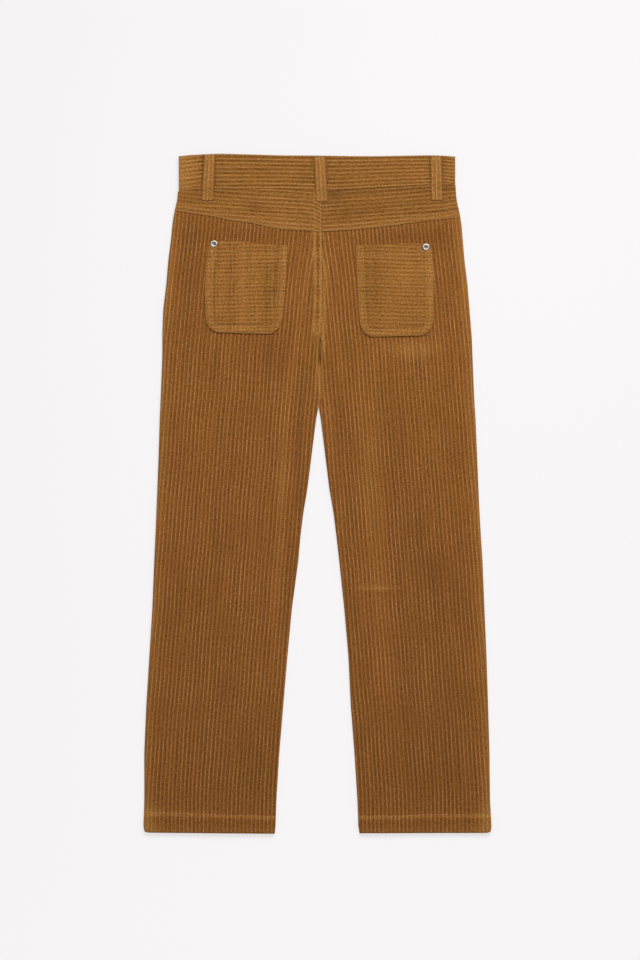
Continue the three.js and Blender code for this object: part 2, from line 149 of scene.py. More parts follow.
# Front panels: cotton corduroy, cut lengthways, face down on the table. Their edges turn up to the
# seams, and above the crotch they meet at the centre-front seam, which shows between the legs.

GAP = 0.3
WALE = 4.48
CROTCH = 281
BAND_LIFT = 1.9
FRONT_WALL = 1.8
FRONT_SEAM_SHIFT = 3.2


def rows_of(columns, table):
    """A table with named columns, as one array for each name."""
    return {name: np.array([row[i] for row in table], float) for i, name in enumerate(columns)}


def curve(table, along, column, at, ease=9.0):
    """One column read between its rows, with the corners at the rows eased."""
    places, values = table[along], table[column]
    return sum(
        share * np.interp(at + shift * ease, places, values)
        for shift, share in ((-1.0, 0.25), (-0.4, 0.25), (0.4, 0.25), (1.0, 0.25))
    )


# Where each edge lies, measured out from the middle of the garment
OUTLINE = rows_of(
    ("down", "side_left", "side_right", "inseam_left", "inseam_right", "centre"),
    [
        (0, 155.1, 154.0, -1.4, 1.4, 4.4),
        (38, 155.7, 154.6, -1.4, 1.4, 4.8),
        (52, 156.8, 155.7, -1.4, 1.4, 4.9),
        (65, 160.2, 159.0, -1.4, 1.4, 5.0),
        (79, 162.4, 161.3, -1.4, 1.4, 4.8),
        (92, 163.5, 162.4, -1.4, 1.4, 4.9),
        (119, 166.9, 164.6, -1.4, 1.4, 5.2),
        (146, 169.1, 168.0, -1.4, 1.4, 5.4),
        (173, 172.5, 170.2, -1.4, 1.4, 5.0),
        (200, 173.6, 172.5, -1.4, 1.4, 3.6),
        (227, 173.6, 173.6, -1.4, 1.4, 2.5),
        (258, 174.8, 174.8, -1.4, 1.4, 1.9),
        (284, 175.9, 176.1, -1.4, 1.4, 1.4),
        (294, 176.4, 176.9, 1.1, 3.4, 1.4),
        (321, 177.2, 178.1, 4.5, 6.7, 1.4),
        (348, 178.1, 179.2, 7.8, 10.1, 1.4),
        (375, 179.2, 180.3, 11.2, 13.4, 1.4),
        (401, 180.3, 181.4, 15.7, 17.9, 1.4),
        (428, 181.4, 183.0, 19.0, 21.3, 1.4),
        (455, 182.6, 184.8, 21.3, 24.4, 1.4),
        (509, 184.8, 187.0, 28.6, 30.0, 1.4),
        (563, 188.2, 189.3, 33.6, 34.7, 1.4),
        (616, 191.5, 191.0, 38.1, 37.2, 1.4),
        (670, 193.8, 192.6, 42.6, 41.4, 1.4),
        (724, 193.8, 193.2, 45.9, 44.8, 1.4),
        (746, 194.6, 194.6, 46.7, 45.6, 1.4),
        (756, 194.9, 194.9, 47.0, 45.9, 1.4),
        (760.8, 192.2, 193.4, 48.0, 47.6, 1.4),
    ],
)

SIDES = {"left": -1, "right": 1}


def side_seam(side, down):
    return curve(OUTLINE, "down", "side_" + side, down, ease=4.0)


def centre_out(side, down):
    """The centre seam, which wanders a little to the right, as a distance out on this side."""
    return SIDES[side] * curve(OUTLINE, "down", "centre", down, ease=4.0)


def front_inner(side, down):
    """The front panels' inner edges. Their seam lies a little to the left of the back one."""
    inseam = curve(OUTLINE, "down", "inseam_" + side, down, ease=4.0)
    seam = SIDES[side] * (curve(OUTLINE, "down", "centre", down, ease=4.0) - FRONT_SEAM_SHIFT)
    return seam + (inseam - seam) * smoothstep(down, CROTCH - 12, CROTCH + 2)


def smoothstep(at, start, end):
    t = np.clip((at - start) / (end - start), 0, 1)
    return t * t * (3 - 2 * t)


def bell(distance, width):
    """A soft bump: 1 in its middle, and close to 0 at twice its width."""
    return np.exp(-((distance / width) ** 2))


def dome(distance, radius):
    """A quarter round that rises from 0 at an edge to 1 at its radius."""
    return np.sqrt(1 - (1 - np.clip(distance / radius, 0, 1)) ** 2)


def grain_slope(down, out):
    """The slant of the wales: with the leg, almost square at the hem, and more at the hips and
    beside the seat seam."""
    hips = 0.034 * (1 - smoothstep(down, 110, 230))
    seat = 0.04 * (1 - smoothstep(down, 110, 200)) * bell(out, 20)
    return (0.078 + hips + seat) * (1 - 0.8 * smoothstep(down, 640, 770))


def grain(out, down):
    """Which wale passes a place, counted from the centre line along the hem."""
    out, down = np.array(out, float), np.array(down, float)
    for _ in range(140):
        step = np.clip(LENGTH - down, 0, 6.0)
        if not step.any():
            break
        out += grain_slope(down, out) * step
        down += step
    return out / WALE


def rib(turns):
    """Height of a wale from 0 in its groove to 1 on its crown, over one turn."""
    from_crown = np.abs(2 * (turns - np.floor(turns)) - 1)
    return 1 - from_crown ** 2.6


def layer_lift(down):
    """The waist end is lifted a little by the front belt loops and the button under it."""
    return BAND_LIFT * (1 - smoothstep(down, 50, 88))


def hem_line(side, out):
    """The row of stitches that holds the hem: it runs up a little to the left side seam."""
    if side == "left":
        return 741.2 - 4.3 * smoothstep(out, 40, 200)
    return 740.9 - 1.6 * smoothstep(out, 85, 130)


def hem_fold(side, out, down):
    line = hem_line(side, out)
    return smoothstep(down, line - 1.5, line + 2)


def front_top(side, out, down):
    return layer_lift(down) + FRONT_WALL + 1.1 * hem_fold(side, out, down)


def shell_columns(outer, inner):
    """Columns across a closed shell: its face from 0 to 1, then its inside back from 1 to 2."""
    return np.concatenate([np.linspace(0, 1, outer + 1), np.linspace(1, 2, inner + 1)[1:]])


def cloth_shell(name, columns, rows, place):
    """A closed shell of cloth from a grid. place(share, inside, row) gives each point's x, y, z in
    millimetres, its wale and its distance along that wale for the UV map, and its nap and painted
    light: how much lighter or darker the cloth is coloured there, for the way that its pile leans
    and as painted highlights and painted shade on folds, edges, seams and gaps."""
    sheet = bmesh.new()
    bmesh.ops.create_grid(
        sheet, x_segments=len(columns) - 1, y_segments=len(rows) - 1, size=0.5
    )
    data = bpy.data.meshes.new(name)
    sheet.to_mesh(data)
    points = np.empty(len(data.vertices) * 3)
    data.vertices.foreach_get("co", points)
    points = points.reshape(-1, 3)
    column = np.rint((points[:, 0] + 0.5) * (len(columns) - 1)).astype(int)
    row = np.rint((0.5 - points[:, 1]) * (len(rows) - 1)).astype(int)
    turned = columns[column]
    share = np.where(turned > 1, 2 - turned, turned)
    x, y, z, wale, run, nap_and_painted_light = place(share, turned > 1, rows[row])
    data.vertices.foreach_set("co", (np.stack([x, y, z], axis=1) * MM).ravel())
    uv = data.uv_layers.new(name="UVMap")
    corners = np.empty(len(data.loops), int)
    data.loops.foreach_get("vertex_index", corners)
    uv.data.foreach_set("uv", np.stack([wale[corners], run[corners]], axis=1).ravel())
    nap_and_painted_light_layer = data.attributes.new("nap_and_painted_light", "FLOAT", "POINT")
    nap_and_painted_light_layer.data.foreach_set("value", nap_and_painted_light + np.zeros_like(x))
    sheet.clear()
    sheet.from_mesh(data)
    bmesh.ops.remove_doubles(sheet, verts=sheet.verts, dist=1e-6)
    for face in sheet.faces:
        face.smooth = True
    ends = [edge for edge in sheet.edges if edge.is_boundary]
    caps = bmesh.ops.holes_fill(sheet, edges=ends, sides=0)["faces"]
    for face in caps:
        for edge in face.edges:
            edge.smooth = False
    bmesh.ops.recalc_face_normals(sheet, faces=sheet.faces)
    # On a shell as flat as this one the faces may all have been turned inwards
    if sheet.calc_volume(signed=True) < 0:
        bmesh.ops.reverse_faces(sheet, faces=sheet.faces)
    sheet.to_mesh(data)
    sheet.free()
    return add_object(name, data)


def corduroy(name, ground, crown, groove, crush=1.0):
    """Wide-wale cotton corduroy: cut pile in ribs, matt with a soft sheen, lighter where the pile
    stands up along the crown, darker and blotchy in the grooves where it has been crushed."""
    material, tree, shader = new_material(name)
    uv = add_node(tree, "ShaderNodeUVMap", uv_map="UVMap").outputs["UV"]
    parts = add_node(tree, "ShaderNodeSeparateXYZ", {"Vector": uv})
    turn = add_node(tree, "ShaderNodeMath", {0: parts.outputs["X"]}, operation="FRACT")
    offset = add_node(tree, "ShaderNodeMath", {0: turn.outputs[0], 1: 0.5}, operation="SUBTRACT")
    from_crown = add_node(
        tree, "ShaderNodeMath", {0: offset.outputs[0]}, operation="ABSOLUTE"
    ).outputs[0]

    # Marks are short crushed blotches, about 4 mm along a wale. Pile is tufts half a millimetre
    # across, drawn at 1.4 mm so that they show. Streaks are wales that lean their own way for a
    # hand's breadth, and so look lighter or darker
    noise = {}
    for kind, scale, detail, roughness in (
        ("marks", (1.9, 0.24, 1.0), 2.0, 0.6),
        ("pile", (3.2, 0.7, 1.0), 1.0, 0.5),
        ("streaks", (1.6, 0.011, 1.0), 2.0, 0.5),
    ):
        stretched = add_node(
            tree, "ShaderNodeMapping", {"Vector": uv, "Scale": scale}, vector_type="POINT"
        ).outputs[0]
        noise[kind] = add_node(
            tree, "ShaderNodeTexNoise",
            {"Vector": stretched, "Scale": 1.0, "Detail": detail, "Roughness": roughness},
            noise_dimensions="2D",
        ).outputs["Fac"]
    patches_place = add_node(tree, "ShaderNodeTexCoord").outputs["Object"]
    noise["patches"] = add_node(
        tree, "ShaderNodeTexNoise", {"Vector": patches_place, "Scale": 30.0, "Detail": 2.0}
    ).outputs["Fac"]
    nap_and_painted_light = add_node(tree, "ShaderNodeAttribute", attribute_name="nap_and_painted_light").outputs["Fac"]

    # Each part: its source, the range that is read there, and what that range becomes
    tuft = 0.17 * crush
    part = {"nap_and_painted_light": nap_and_painted_light}
    for kind, source, low, high, start, end, easing in (
        ("crown line", from_crown, 0.02, 0.145, 1.0, 0.0, "SMOOTHSTEP"),
        ("crown marks", noise["marks"], 0.32, 0.62, 0.2, 1.2, "LINEAR"),
        # Over a few centimetres the crowns are now brushed up and now pressed flat
        ("pressed", noise["patches"], 0.36, 0.64, 0.45, 1.15, "LINEAR"),
        ("groove line", from_crown, 0.2, 0.46, 0.0, 1.0, "SMOOTHSTEP"),
        ("groove marks", noise["marks"], 0.35, 0.62, 0.95, 0.0, "LINEAR"),
        # Where the attribute is light the colour turns paler and more golden: brushed-up pile, and
        # the painted highlights on ridges, rims and seams
        ("golden", nap_and_painted_light, 0.05, 0.3, 0.0, 0.6, "LINEAR"),
        ("streak", noise["streaks"], 0.3, 0.7, 0.9, 1.1, "LINEAR"),
        ("tuft", noise["pile"], 0.3, 0.7, 1 - tuft, 1 + tuft, "LINEAR"),
    ):
        part[kind] = add_node(
            tree, "ShaderNodeMapRange",
            {"Value": source, "From Min": low, "From Max": high, "To Min": start, "To Max": end},
            interpolation_type=easing,
        ).outputs[0]
    for kind, one, other, operation in (
        ("brushed", "crown line", "crown marks", "MULTIPLY"),
        ("crown", "brushed", "pressed", "MULTIPLY"),
        ("groove", "groove line", "groove marks", "MULTIPLY"),
        ("tone", "streak", "nap_and_painted_light", "ADD"),
        ("light", "tone", "tuft", "MULTIPLY"),
    ):
        part[kind] = add_node(
            tree, "ShaderNodeMath", {0: part[one], 1: part[other]}, operation=operation
        ).outputs[0]

    # Sockets 0, 6 and 7 of a Mix node are its factor and its two colours, and output 2 the result
    colour = linear(ground)
    for kind, shown in (("crown", crown), ("groove", groove), ("golden", "#926935")):
        colour = add_node(
            tree, "ShaderNodeMix", {0: part[kind], 6: colour, 7: linear(shown)}, data_type="RGBA"
        ).outputs[2]
    coloured = add_node(
        tree, "ShaderNodeVectorMath", {0: colour, "Scale": part["light"]}, operation="SCALE"
    )
    tree.links.new(coloured.outputs[0], shader.inputs["Base Color"])

    height = add_node(
        tree, "ShaderNodeMath", {0: noise["marks"], 1: 1.6, 2: noise["pile"]},
        operation="MULTIPLY_ADD",
    )
    bump = add_node(
        tree, "ShaderNodeBump",
        {"Height": height.outputs[0], "Strength": 0.6, "Distance": 0.0004},
    )
    tree.links.new(bump.outputs[0], shader.inputs["Normal"])
    shader.inputs["Roughness"].default_value = 0.92
    shader.inputs["Specular IOR Level"].default_value = 0.15
    shader.inputs["Sheen Weight"].default_value = 0.18
    shader.inputs["Sheen Roughness"].default_value = 0.45
    shader.inputs["Sheen Tint"].default_value = linear("#d9a25c")
    return material


panel_corduroy = corduroy(
    "golden brown cotton corduroy", "#8a5725", "#ae7c48", "#724012", crush=1.9
)


def finish_piece(piece, material, slot, *nodes):
    """Gives a piece its material, fixes it to the body and hides its solid. Its slot is not used.
    """
    piece.data.materials.append(material)
    if nodes:
        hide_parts(*nodes)
    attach(piece, "root")
    return piece


def hem_end(side, out):
    """The bottom edge dips towards the inseam, and its corners are a little round."""
    inner, outer = front_inner(side, LENGTH - 20.0), side_seam(side, LENGTH - 20.0)
    across = np.clip((out - inner) / (outer - inner), 0, 1)
    corner = 2.6 * (1 - dome(outer - out, 7.0)) + 1.2 * (1 - dome(out - inner, 3.0))
    slant = 1.3 if side == "left" else 0.4
    return LENGTH - slant * across - (0.6 if side == "right" else 0.0) - corner


def leg_place(side, share, row, inner_edge, top_edge):
    """A leg panel's point from its share of the width and its row down: out, down and the
    distances to its inner and outer edges and to the hem."""
    down = row
    for _ in range(2):
        inner, outer = inner_edge(side, down), side_seam(side, down)
        out = inner + (outer - inner) * share
        top = top_edge(side, out)
        bottom = hem_end(side, out)
        at_top = 1 - smoothstep(row, top_row, top_row + 90)
        at_bottom = smoothstep(row, LENGTH - 60, LENGTH)
        down = row + (top - top_row) * at_top + (bottom - LENGTH) * at_bottom
    return out, down, out - inner, outer - out, bottom - down


BAND = rows_of(
    ("x", "top", "seam"),
    [
        (-156, 3.4, 42.2), (-150, 2.2, 41.8), (-142, 1.5, 41.0), (-130, 0.9, 40.0),
        (-110, 0.0, 39.4), (-75, 0.9, 39.2), (-40, 2.0, 39.2), (-5, 2.1, 39.8), (15, 2.4, 40.8),
        (45, 2.8, 39.4), (70, 2.8, 37.8), (100, 2.2, 36.0), (125, 1.8, 34.8), (145, 2.4, 35.0),
        (156, 3.6, 35.6),
    ],
)


def band_top(x):
    return curve(BAND, "x", "top", x, ease=5.0)


def band_seam(x):
    return curve(BAND, "x", "seam", x, ease=5.0)


top_row = 44.0
FRONT_ROWS = np.concatenate([
    np.arange(44, 180, 2.5), np.arange(180, 732, 5.0), np.arange(732, LENGTH - 2, 1.6),
    [LENGTH - 1.2, LENGTH - 0.5, LENGTH],
])


# The nap column paints light and shade: each ridge lighter and each trough darker, and the flat
# rows at down 90 to 93 a painted shadow just above the pocket mouths.
FOLDS = rows_of(
    ("side", "out", "down", "width", "length", "lean", "height", "nap_and_painted_light"),
    [
        # left leg: a ridge and a trough beside the inseam, and drags from the crotch
        (-1, 39, 362, 6, 85, 0.055, 1.5, 0.17),
        (-1, 46, 520, 9, 110, 0.07, 0.8, 0.08),
        (-1, 29, 430, 4, 60, 0.08, -0.3, -0.1),
        (-1, 19, 318, 5, 75, 0.01, -0.8, -0.15),
        (-1, 17, 156, 5, 66, 0.16, 1.1, 0.13),
        (-1, 33, 250, 7, 60, 0.12, 0.7, 0.05),
        (-1, 56, 226, 17, 26, 0.2, -0.6, -0.12),
        (-1, 28, 205, 6, 40, 0.1, -0.4, -0.07),
        (-1, 144, 140, 12, 70, 0.05, -0.4, -0.09),
        (-1, 142, 92, 16, 16, 0.0, -0.2, -0.08),
        (-1, 84, 91, 62, 6.5, 0.0, 0.0, -0.13),
        (-1, 128, 345, 15, 60, 0.05, 0.9, 0.03),
        (-1, 80, 520, 18, 110, 0.09, 0.7, 0.03),
        (-1, 112, 430, 10, 80, 0.07, -0.5, -0.04),
        (-1, 152, 600, 12, 90, 0.04, 0.7, 0.03),
        (-1, 100, 640, 14, 70, 0.03, -0.5, -0.04),
        (-1, 66, 700, 20, 40, 0.0, -0.4, -0.05),
        # right leg: a broad ridge down the front of the thigh and a hollow outside it
        (1, 58, 352, 14, 100, 0.05, 1.2, 0.11),
        (1, 70, 520, 13, 110, 0.06, 1.1, 0.09),
        (1, 84, 372, 8, 90, 0.08, -0.6, -0.06),
        (1, 127, 467, 26, 44, 0.1, -0.9, -0.1),
        (1, 108, 400, 12, 50, 0.08, -0.4, -0.05),
        (1, 150, 520, 8, 120, 0.06, 0.8, 0.05),
        (1, 67, 486, 22, 2.0, -0.02, 0.9, 0.22),
        (1, 138, 90, 12, 14, 0.0, -0.2, -0.12),
        (1, 92, 93, 46, 7.5, 0.0, 0.0, -0.15),
        (1, 107, 219, 36, 12, 0.0, 0.5, 0.2),
        (1, 14, 140, 4, 60, 0.09, 0.6, 0.08),
        (1, 26, 150, 5, 60, 0.1, -0.4, -0.05),
        (1, 9, 272, 5, 40, 0.1, 0.4, 0.08),
        (1, 24, 300, 6, 70, 0.12, -0.4, -0.06),
        (1, 100, 620, 10, 110, 0.05, -0.6, -0.05),
        (1, 128, 330, 16, 70, 0.08, 0.5, 0.02),
        (1, 130, 690, 30, 40, 0.0, -0.4, -0.05),
        (1, 148, 610, 20, 90, 0.03, -0.3, -0.05),
    ],
)
BAGS = {
    "left": {"out": 104, "down": 176, "wide": 46, "deep": 62, "height": 0.35},
    "right": {"out": 106, "down": 180, "wide": 52, "deep": 54, "height": 0.6},
}


def patches(table, side, out, down):
    """The soft patches of a table on one side, added up: their height, and how much lighter or
    darker they are coloured, for the lean of the pile and as painted light and shade."""
    height, nap_and_painted_light = np.zeros_like(out), np.zeros_like(out)
    for i in np.flatnonzero(table["side"] == SIDES[side]):
        patch = {name: values[i] for name, values in table.items()}
        below = down - patch["down"]
        across = (out - patch["out"] - patch.get("lean", 0.0) * below) / patch["width"]
        share = np.exp(-((below / patch["length"]) ** 2) - across ** 2)
        height += patch.get("height", 0.0) * share
        nap_and_painted_light += patch["nap_and_painted_light"] * share
    return height, nap_and_painted_light


def folds(side, out, down):
    """The soft ridges and troughs that the leg lies in, each long and low, and their nap and
    painted
    light: ridges painted lighter, troughs darker, and painted highlights along the side seams.
    """
    height, nap_and_painted_light = patches(FOLDS, side, out, down)
    # The front pockets' bags press through below the patch pockets
    bag = BAGS[side]
    reach = np.hypot((out - bag["out"]) / bag["wide"], (down - bag["down"]) / bag["deep"])
    height += bag["height"] * (1 - smoothstep(reach, 0.95, 1.04))
    sway = np.sin(out / 23 + down / 71 + SIDES[side]) * np.sin(down / 47 - out / 90)
    # Painted highlight along the side seam, where the cloth rounds over, most on the right leg,
    # and more at the outer corner of the hem
    reach, share = (10.5, 0.19) if side == "right" else (9.5, 0.17)
    from_side = side_seam(side, down) - out
    nap_and_painted_light += share * bell(from_side, reach)
    nap_and_painted_light += 0.22 * smoothstep(down, 710, 750) * bell(from_side, 15.0)
    return height + 0.35 * sway, nap_and_painted_light


FLY_WIDTH = 34.0
FLY_STRAIGHT = 135.0
FLY_CURVE = 26.0
MOUTH_TOP = 118.0
MOUTH_END = 168.0
MOUTH_ROW = 6.0


def fly_distance(from_seam, down):
    """Distance to the J-shaped row that holds the fly, on the left front panel."""
    round_part = np.hypot(from_seam / FLY_WIDTH, (down - FLY_STRAIGHT) / FLY_CURVE) - 1
    return np.where(down < FLY_STRAIGHT, from_seam - FLY_WIDTH, round_part * 30)


def mouth_out(side, down):
    """The slanted edge of a front pocket, from the waistband to the side seam."""
    share = np.clip((down - 40) / (MOUTH_END - 40), 0, 1) ** 1.5
    return MOUTH_TOP + (side_seam(side, down) - MOUTH_TOP) * share


def front_dents(side, out, down, inner_gap):
    """How far the front panel's face is drawn in along its seams and rows of stitches."""
    dents = 0.45 * bell(down - hem_line(side, out), 1.2)
    above = 1 - smoothstep(down, MOUTH_END - 6, MOUTH_END)
    from_mouth = mouth_out(side, down) - out
    dents += above * 0.6 * bell(from_mouth, 0.9)
    dents += above * 0.35 * bell(from_mouth - MOUTH_ROW, 0.9)
    if side == "left":
        dents += 0.4 * bell(fly_distance(inner_gap, down), 1.0)
    return dents


def front_panel(side):
    def place(share, inside, row):
        out, down, inner_gap, outer_gap, end_gap = leg_place(
            side, share, row, front_inner, lambda s, o: band_seam(SIDES[s] * o)
        )
        at_inseam = inner_gap + 9.0 * (1 - smoothstep(down, CROTCH - 4, CROTCH + 4))
        edge = np.minimum(at_inseam, outer_gap)
        wale = grain(out, down)
        turn_up = 1.7 * (1 - dome(edge, 3.5)) + 0.9 * (1 - dome(end_gap, 3.0))
        face = layer_lift(down) + turn_up + 0.8 * (1 - rib(wale)) * dome(edge, 3.0)
        face = face + front_dents(side, out, down, inner_gap) * dome(edge, 3.0)
        back = layer_lift(down) + 1.7 + (0.1 + 1.1 * hem_fold(side, out, down)) * dome(edge, 3.0)
        # The crotch rolls up a little into the slit between the back panels
        from_centre = out - centre_out(side, down)
        roll = smoothstep(down, 230, 243) * (1 - smoothstep(down, 281, 296))
        back = back + 1.7 * roll * np.exp(-((from_centre / 2.2) ** 4))
        x = SIDES[side] * out
        # Painted shadow in the slit between the back panels above the crotch, where the four seams
        # meet: the inside of the front panel is painted darker there
        slit_shadow = np.exp(-(((down - 224) / 9) ** 4)) * bell(from_centre, 5)
        nap_and_painted_light = folds(side, out, down)[1] * dome(edge, 3.0) - 0.24 * slit_shadow * inside
        # and below it a painted highlight: the crotch roll is painted lighter where it shows lit
        # between the back panels
        ridge = smoothstep(down, 231, 238) * (1 - smoothstep(down, 281, 296))
        nap_and_painted_light = nap_and_painted_light + 0.3 * ridge * bell(from_centre, 3.5) * inside
        return x, LENGTH / 2 - down, np.where(inside, back, face), wale, down, nap_and_painted_light

    piece = cloth_shell(f"front_panel_{side}", shell_columns(190, 44), FRONT_ROWS, place)
    finish_piece(piece, panel_corduroy, "corduroy_panel", f"front_{side}")
    return piece


for side in SIDES:
    front = front_panel(side)

# Back panels: the same corduroy, lying on the fronts. The seat seam is cut across the grain, so
# the wales fan out from it, and soft ridges run down the legs beside the inseams.

YOKE = rows_of(
    ("out", "left", "right"),
    [
        (-8, 87.6, 87.4), (0, 87.1, 87.3), (10, 86.6, 87.0), (25, 85.9, 86.2), (34, 85.2, 85.7),
        (47, 83.7, 84.6), (58, 81.4, 83.6), (69, 78.4, 82.5), (81, 76.7, 81.0), (95, 75.2, 78.7),
        (109, 71.8, 76.9), (123, 69.6, 75.3), (137, 67.2, 73.9), (150, 65.2, 72.3),
        (163, 63.2, 71.0),
    ],
)


def slit(down):
    """Half the gap between the back panels above the crotch."""
    return 1.3 * smoothstep(down, 205, 213) + 0.6 * smoothstep(down, 234, 244)


def back_inner(side, down):
    inseam = curve(OUTLINE, "down", "inseam_" + side, down, ease=4.0)
    return np.maximum(centre_out(side, down) + slit(down), np.where(down < 270, -9, inseam))


# The two rows of the lapped seam and of the yoke's lower seam, measured from their seams
LAP_INNER, LAP_OUTER = 1.5, 8.4
YOKE_LOWER, YOKE_UPPER = 1.4, 6.4


def felled_strip(side, inner_gap, down):
    """The seat seam laps to the left: a raised strip with a crushed row of pleats down it."""
    on_seam = 1 - smoothstep(down, 198, 212)
    if side == "right":
        return np.zeros_like(inner_gap)
    strip = 0.55 * (1 - smoothstep(inner_gap, LAP_OUTER, 9.8))
    rows = 0.4 * bell(inner_gap - LAP_INNER, 0.7)
    rows = rows + 0.55 * bell(inner_gap - LAP_OUTER, 0.9)
    return on_seam * (strip - rows - 0.7 * pleats(inner_gap, down))


def lap_wale(inner_gap):
    """On the lapped seam one wale stands along each side, and the dents lie between them."""
    return 0.5 + (inner_gap - 0.6) / 8.0


def pleats(inner_gap, down):
    """Small dents down the middle of the lapped seam, where the cloth under it is crushed."""
    dents = 0.5 + 0.5 * np.cos(down * math.tau / 5.1 + 1.3 * np.sin(down / 23))
    return dents * bell(inner_gap - 4.9, 1.5) * (1 - smoothstep(down, 190, 205))


def yoke_seam(side, out):
    return curve(YOKE, "out", side, out, ease=5.0)


def back_under(side, out, down):
    rest = smoothstep(down, 96, 130)
    return front_top(side, out, down) + GAP + rest * (0.4 + folds(side, out, down)[0])


CROWN = 2.4
RELIEF = 1.0
BACK_ROWS = np.concatenate([
    [75, 75.6, 76.4, 77.6, 79], np.arange(81, 290, 2.2), np.arange(290, 738, 4.0),
    np.arange(738, LENGTH - 3, 1.8), [LENGTH - 2.6, LENGTH - 1.6, LENGTH - 0.7, LENGTH],
])


def back_face(side, out, down, inner_gap, outer_gap, end_gap):
    """Height of a back panel's face: ribs, round edges, and the pull of the hem stitching."""
    wale = grain(out, down) + 0.05 * np.sin(down / 31 + out / 17) + 0.05 * np.sin(down / 13)
    seat = 1 - smoothstep(down, 203, 212)
    if side == "left":
        lapped = seat * (1 - smoothstep(inner_gap, 8.5, 9.1))
        wale = wale + (lap_wale(inner_gap) - wale) * lapped
    edge = np.minimum(outer_gap, inner_gap + 3.0 * seat)
    hem_dip = 0.6 * bell(down - hem_line(side, out), 1.2)
    at_seam = seat * (1 - smoothstep(inner_gap, 1.0, 9.5 if side == "left" else 2.5))
    relief = RELIEF * (1 - rib(wale)) * (1 - 0.25 * hem_fold(side, out, down) - 0.6 * at_seam)
    full = CROWN + 1.0 * hem_fold(side, out, down) - relief - hem_dip
    full = full + felled_strip(side, inner_gap, down)
    lip = 0.35 + 0.65 * dome(end_gap, 3.2)
    return back_under(side, out, down) + full * dome(edge, 4.2) * lip, wale


def hem_nap(side, out, down):
    """The hem's stitches press the pile down, and it stands up lighter on both sides of them."""
    from_line = down - hem_line(side, out)
    light = 0.16 * bell(from_line - 1.8, 1.6) + 0.1 * smoothstep(down, 752, 758)
    light = light + 0.07 * bell(from_line + 3.0, 1.6)
    return light + 0.04 * (from_line > 0) - 0.06 * bell(from_line - 8.0, 3.5)


def back_panel(side):
    def place(share, inside, row):
        out, down, inner_gap, outer_gap, end_gap = leg_place(
            side, share, row, back_inner, yoke_seam
        )
        face, wale = back_face(side, out, down, inner_gap, outer_gap, end_gap)
        seam_gap = down - yoke_seam(side, out)
        face = face - 0.45 * bell(seam_gap, 1.3) * (row < 82)
        under = back_under(side, out, down)
        at_weld = np.minimum(inner_gap, outer_gap) < 1e-6
        meet = np.where(at_weld, face, under)
        x = SIDES[side] * out
        nap_and_painted_light = folds(side, out, down)[1] + hem_nap(side, out, down)
        if side == "left":
            # Painted shade in the dents of the lapped seam's pleats
            nap_and_painted_light = nap_and_painted_light - 0.46 * pleats(inner_gap, down)
            lapped = (1 - smoothstep(down, 198, 212)) * (1 - smoothstep(inner_gap, 9, 11))
            nap_and_painted_light = nap_and_painted_light + lapped * (0.28 + 0.07 * np.sin(down * math.tau / 27 + 0.8))
        else:
            beside = bell(inner_gap - 2.5, 3.0)
            beside = beside * smoothstep(down, 90, 150) * (1 - smoothstep(down, 208, 232))
            nap_and_painted_light = nap_and_painted_light + 0.28 * beside
        # The edges of the slit above the crotch are painted lighter
        slit_edge_lightening = smoothstep(down, 200, 209) * (1 - smoothstep(down, 262, 285))
        nap_and_painted_light = nap_and_painted_light + 0.26 * slit_edge_lightening * bell(inner_gap, 2.6)
        return x, LENGTH / 2 - down, np.where(inside, meet, face), wale, down, nap_and_painted_light

    piece = cloth_shell(f"back_panel_{side}", shell_columns(300, 22), BACK_ROWS, place)
    finish_piece(piece, panel_corduroy, "corduroy_panel", f"back_{side}")
    return piece


top_row = 75.0
for side in SIDES:
    back = back_panel(side)

# Yoke: two shaped strips with the wales lying across, joined behind, which meet the back panels
# in a seam that dips to the centre.

# This copy, for the yoke and the waistband, is painted a little lighter than the panels' corduroy:
# painted light, for the light that wales lying across catch
trim_corduroy = corduroy(
    "golden brown cotton corduroy, across", "#90602a", "#af7e49", "#734315", crush=2.1
)
YOKE_RELIEF = 0.55


def yoke_grain(side, out, down):
    """Wales that drop a little towards the centre seam, and are dragged down beside it on the
    left, where the seam is lapped."""
    slope = 0.066 if side == "left" else 0.074
    drop = slope * (157 - out) - 0.6 * slope * (out - 125) * smoothstep(out, 125, 157)
    if side == "left":
        drop = drop + 4.2 * (1 - smoothstep(out, -6, 7))
    return (down - drop) / WALE + 0.05 * np.sin(out / 13 + down / 9)


def yoke_face(side, out, down, top, bottom):
    wale = yoke_grain(side, out, down)
    above = bottom - down
    lap = 0.8 * (1 - smoothstep(above, 6.8, 8.6)) - 0.4 * bell(above - YOKE_LOWER, 0.7)
    lap = lap - 0.45 * bell(above - YOKE_UPPER, 0.8)
    edge = np.minimum(down - top, above)
    centre_gap = out - centre_out(side, down)
    seam_dip = 0.7 * bell(centre_gap, 1.2)
    if side == "left":
        seam_dip = seam_dip - 0.4 * (1 - smoothstep(centre_gap, LAP_OUTER, 9.8))
        seam_dip = seam_dip + 0.35 * bell(centre_gap - LAP_OUTER, 0.8)
    side_gap = side_seam(side, down) - out
    at_band = 1.2 * (1 - smoothstep(down - top, 0, 8))
    full = CROWN - YOKE_RELIEF * (1 - rib(wale)) + lap - seam_dip + at_band
    lip = 0.75 + 0.25 * dome(edge, 1.0)
    return front_top(side, out, down) + GAP + full * dome(side_gap, 4.2) * lip, wale


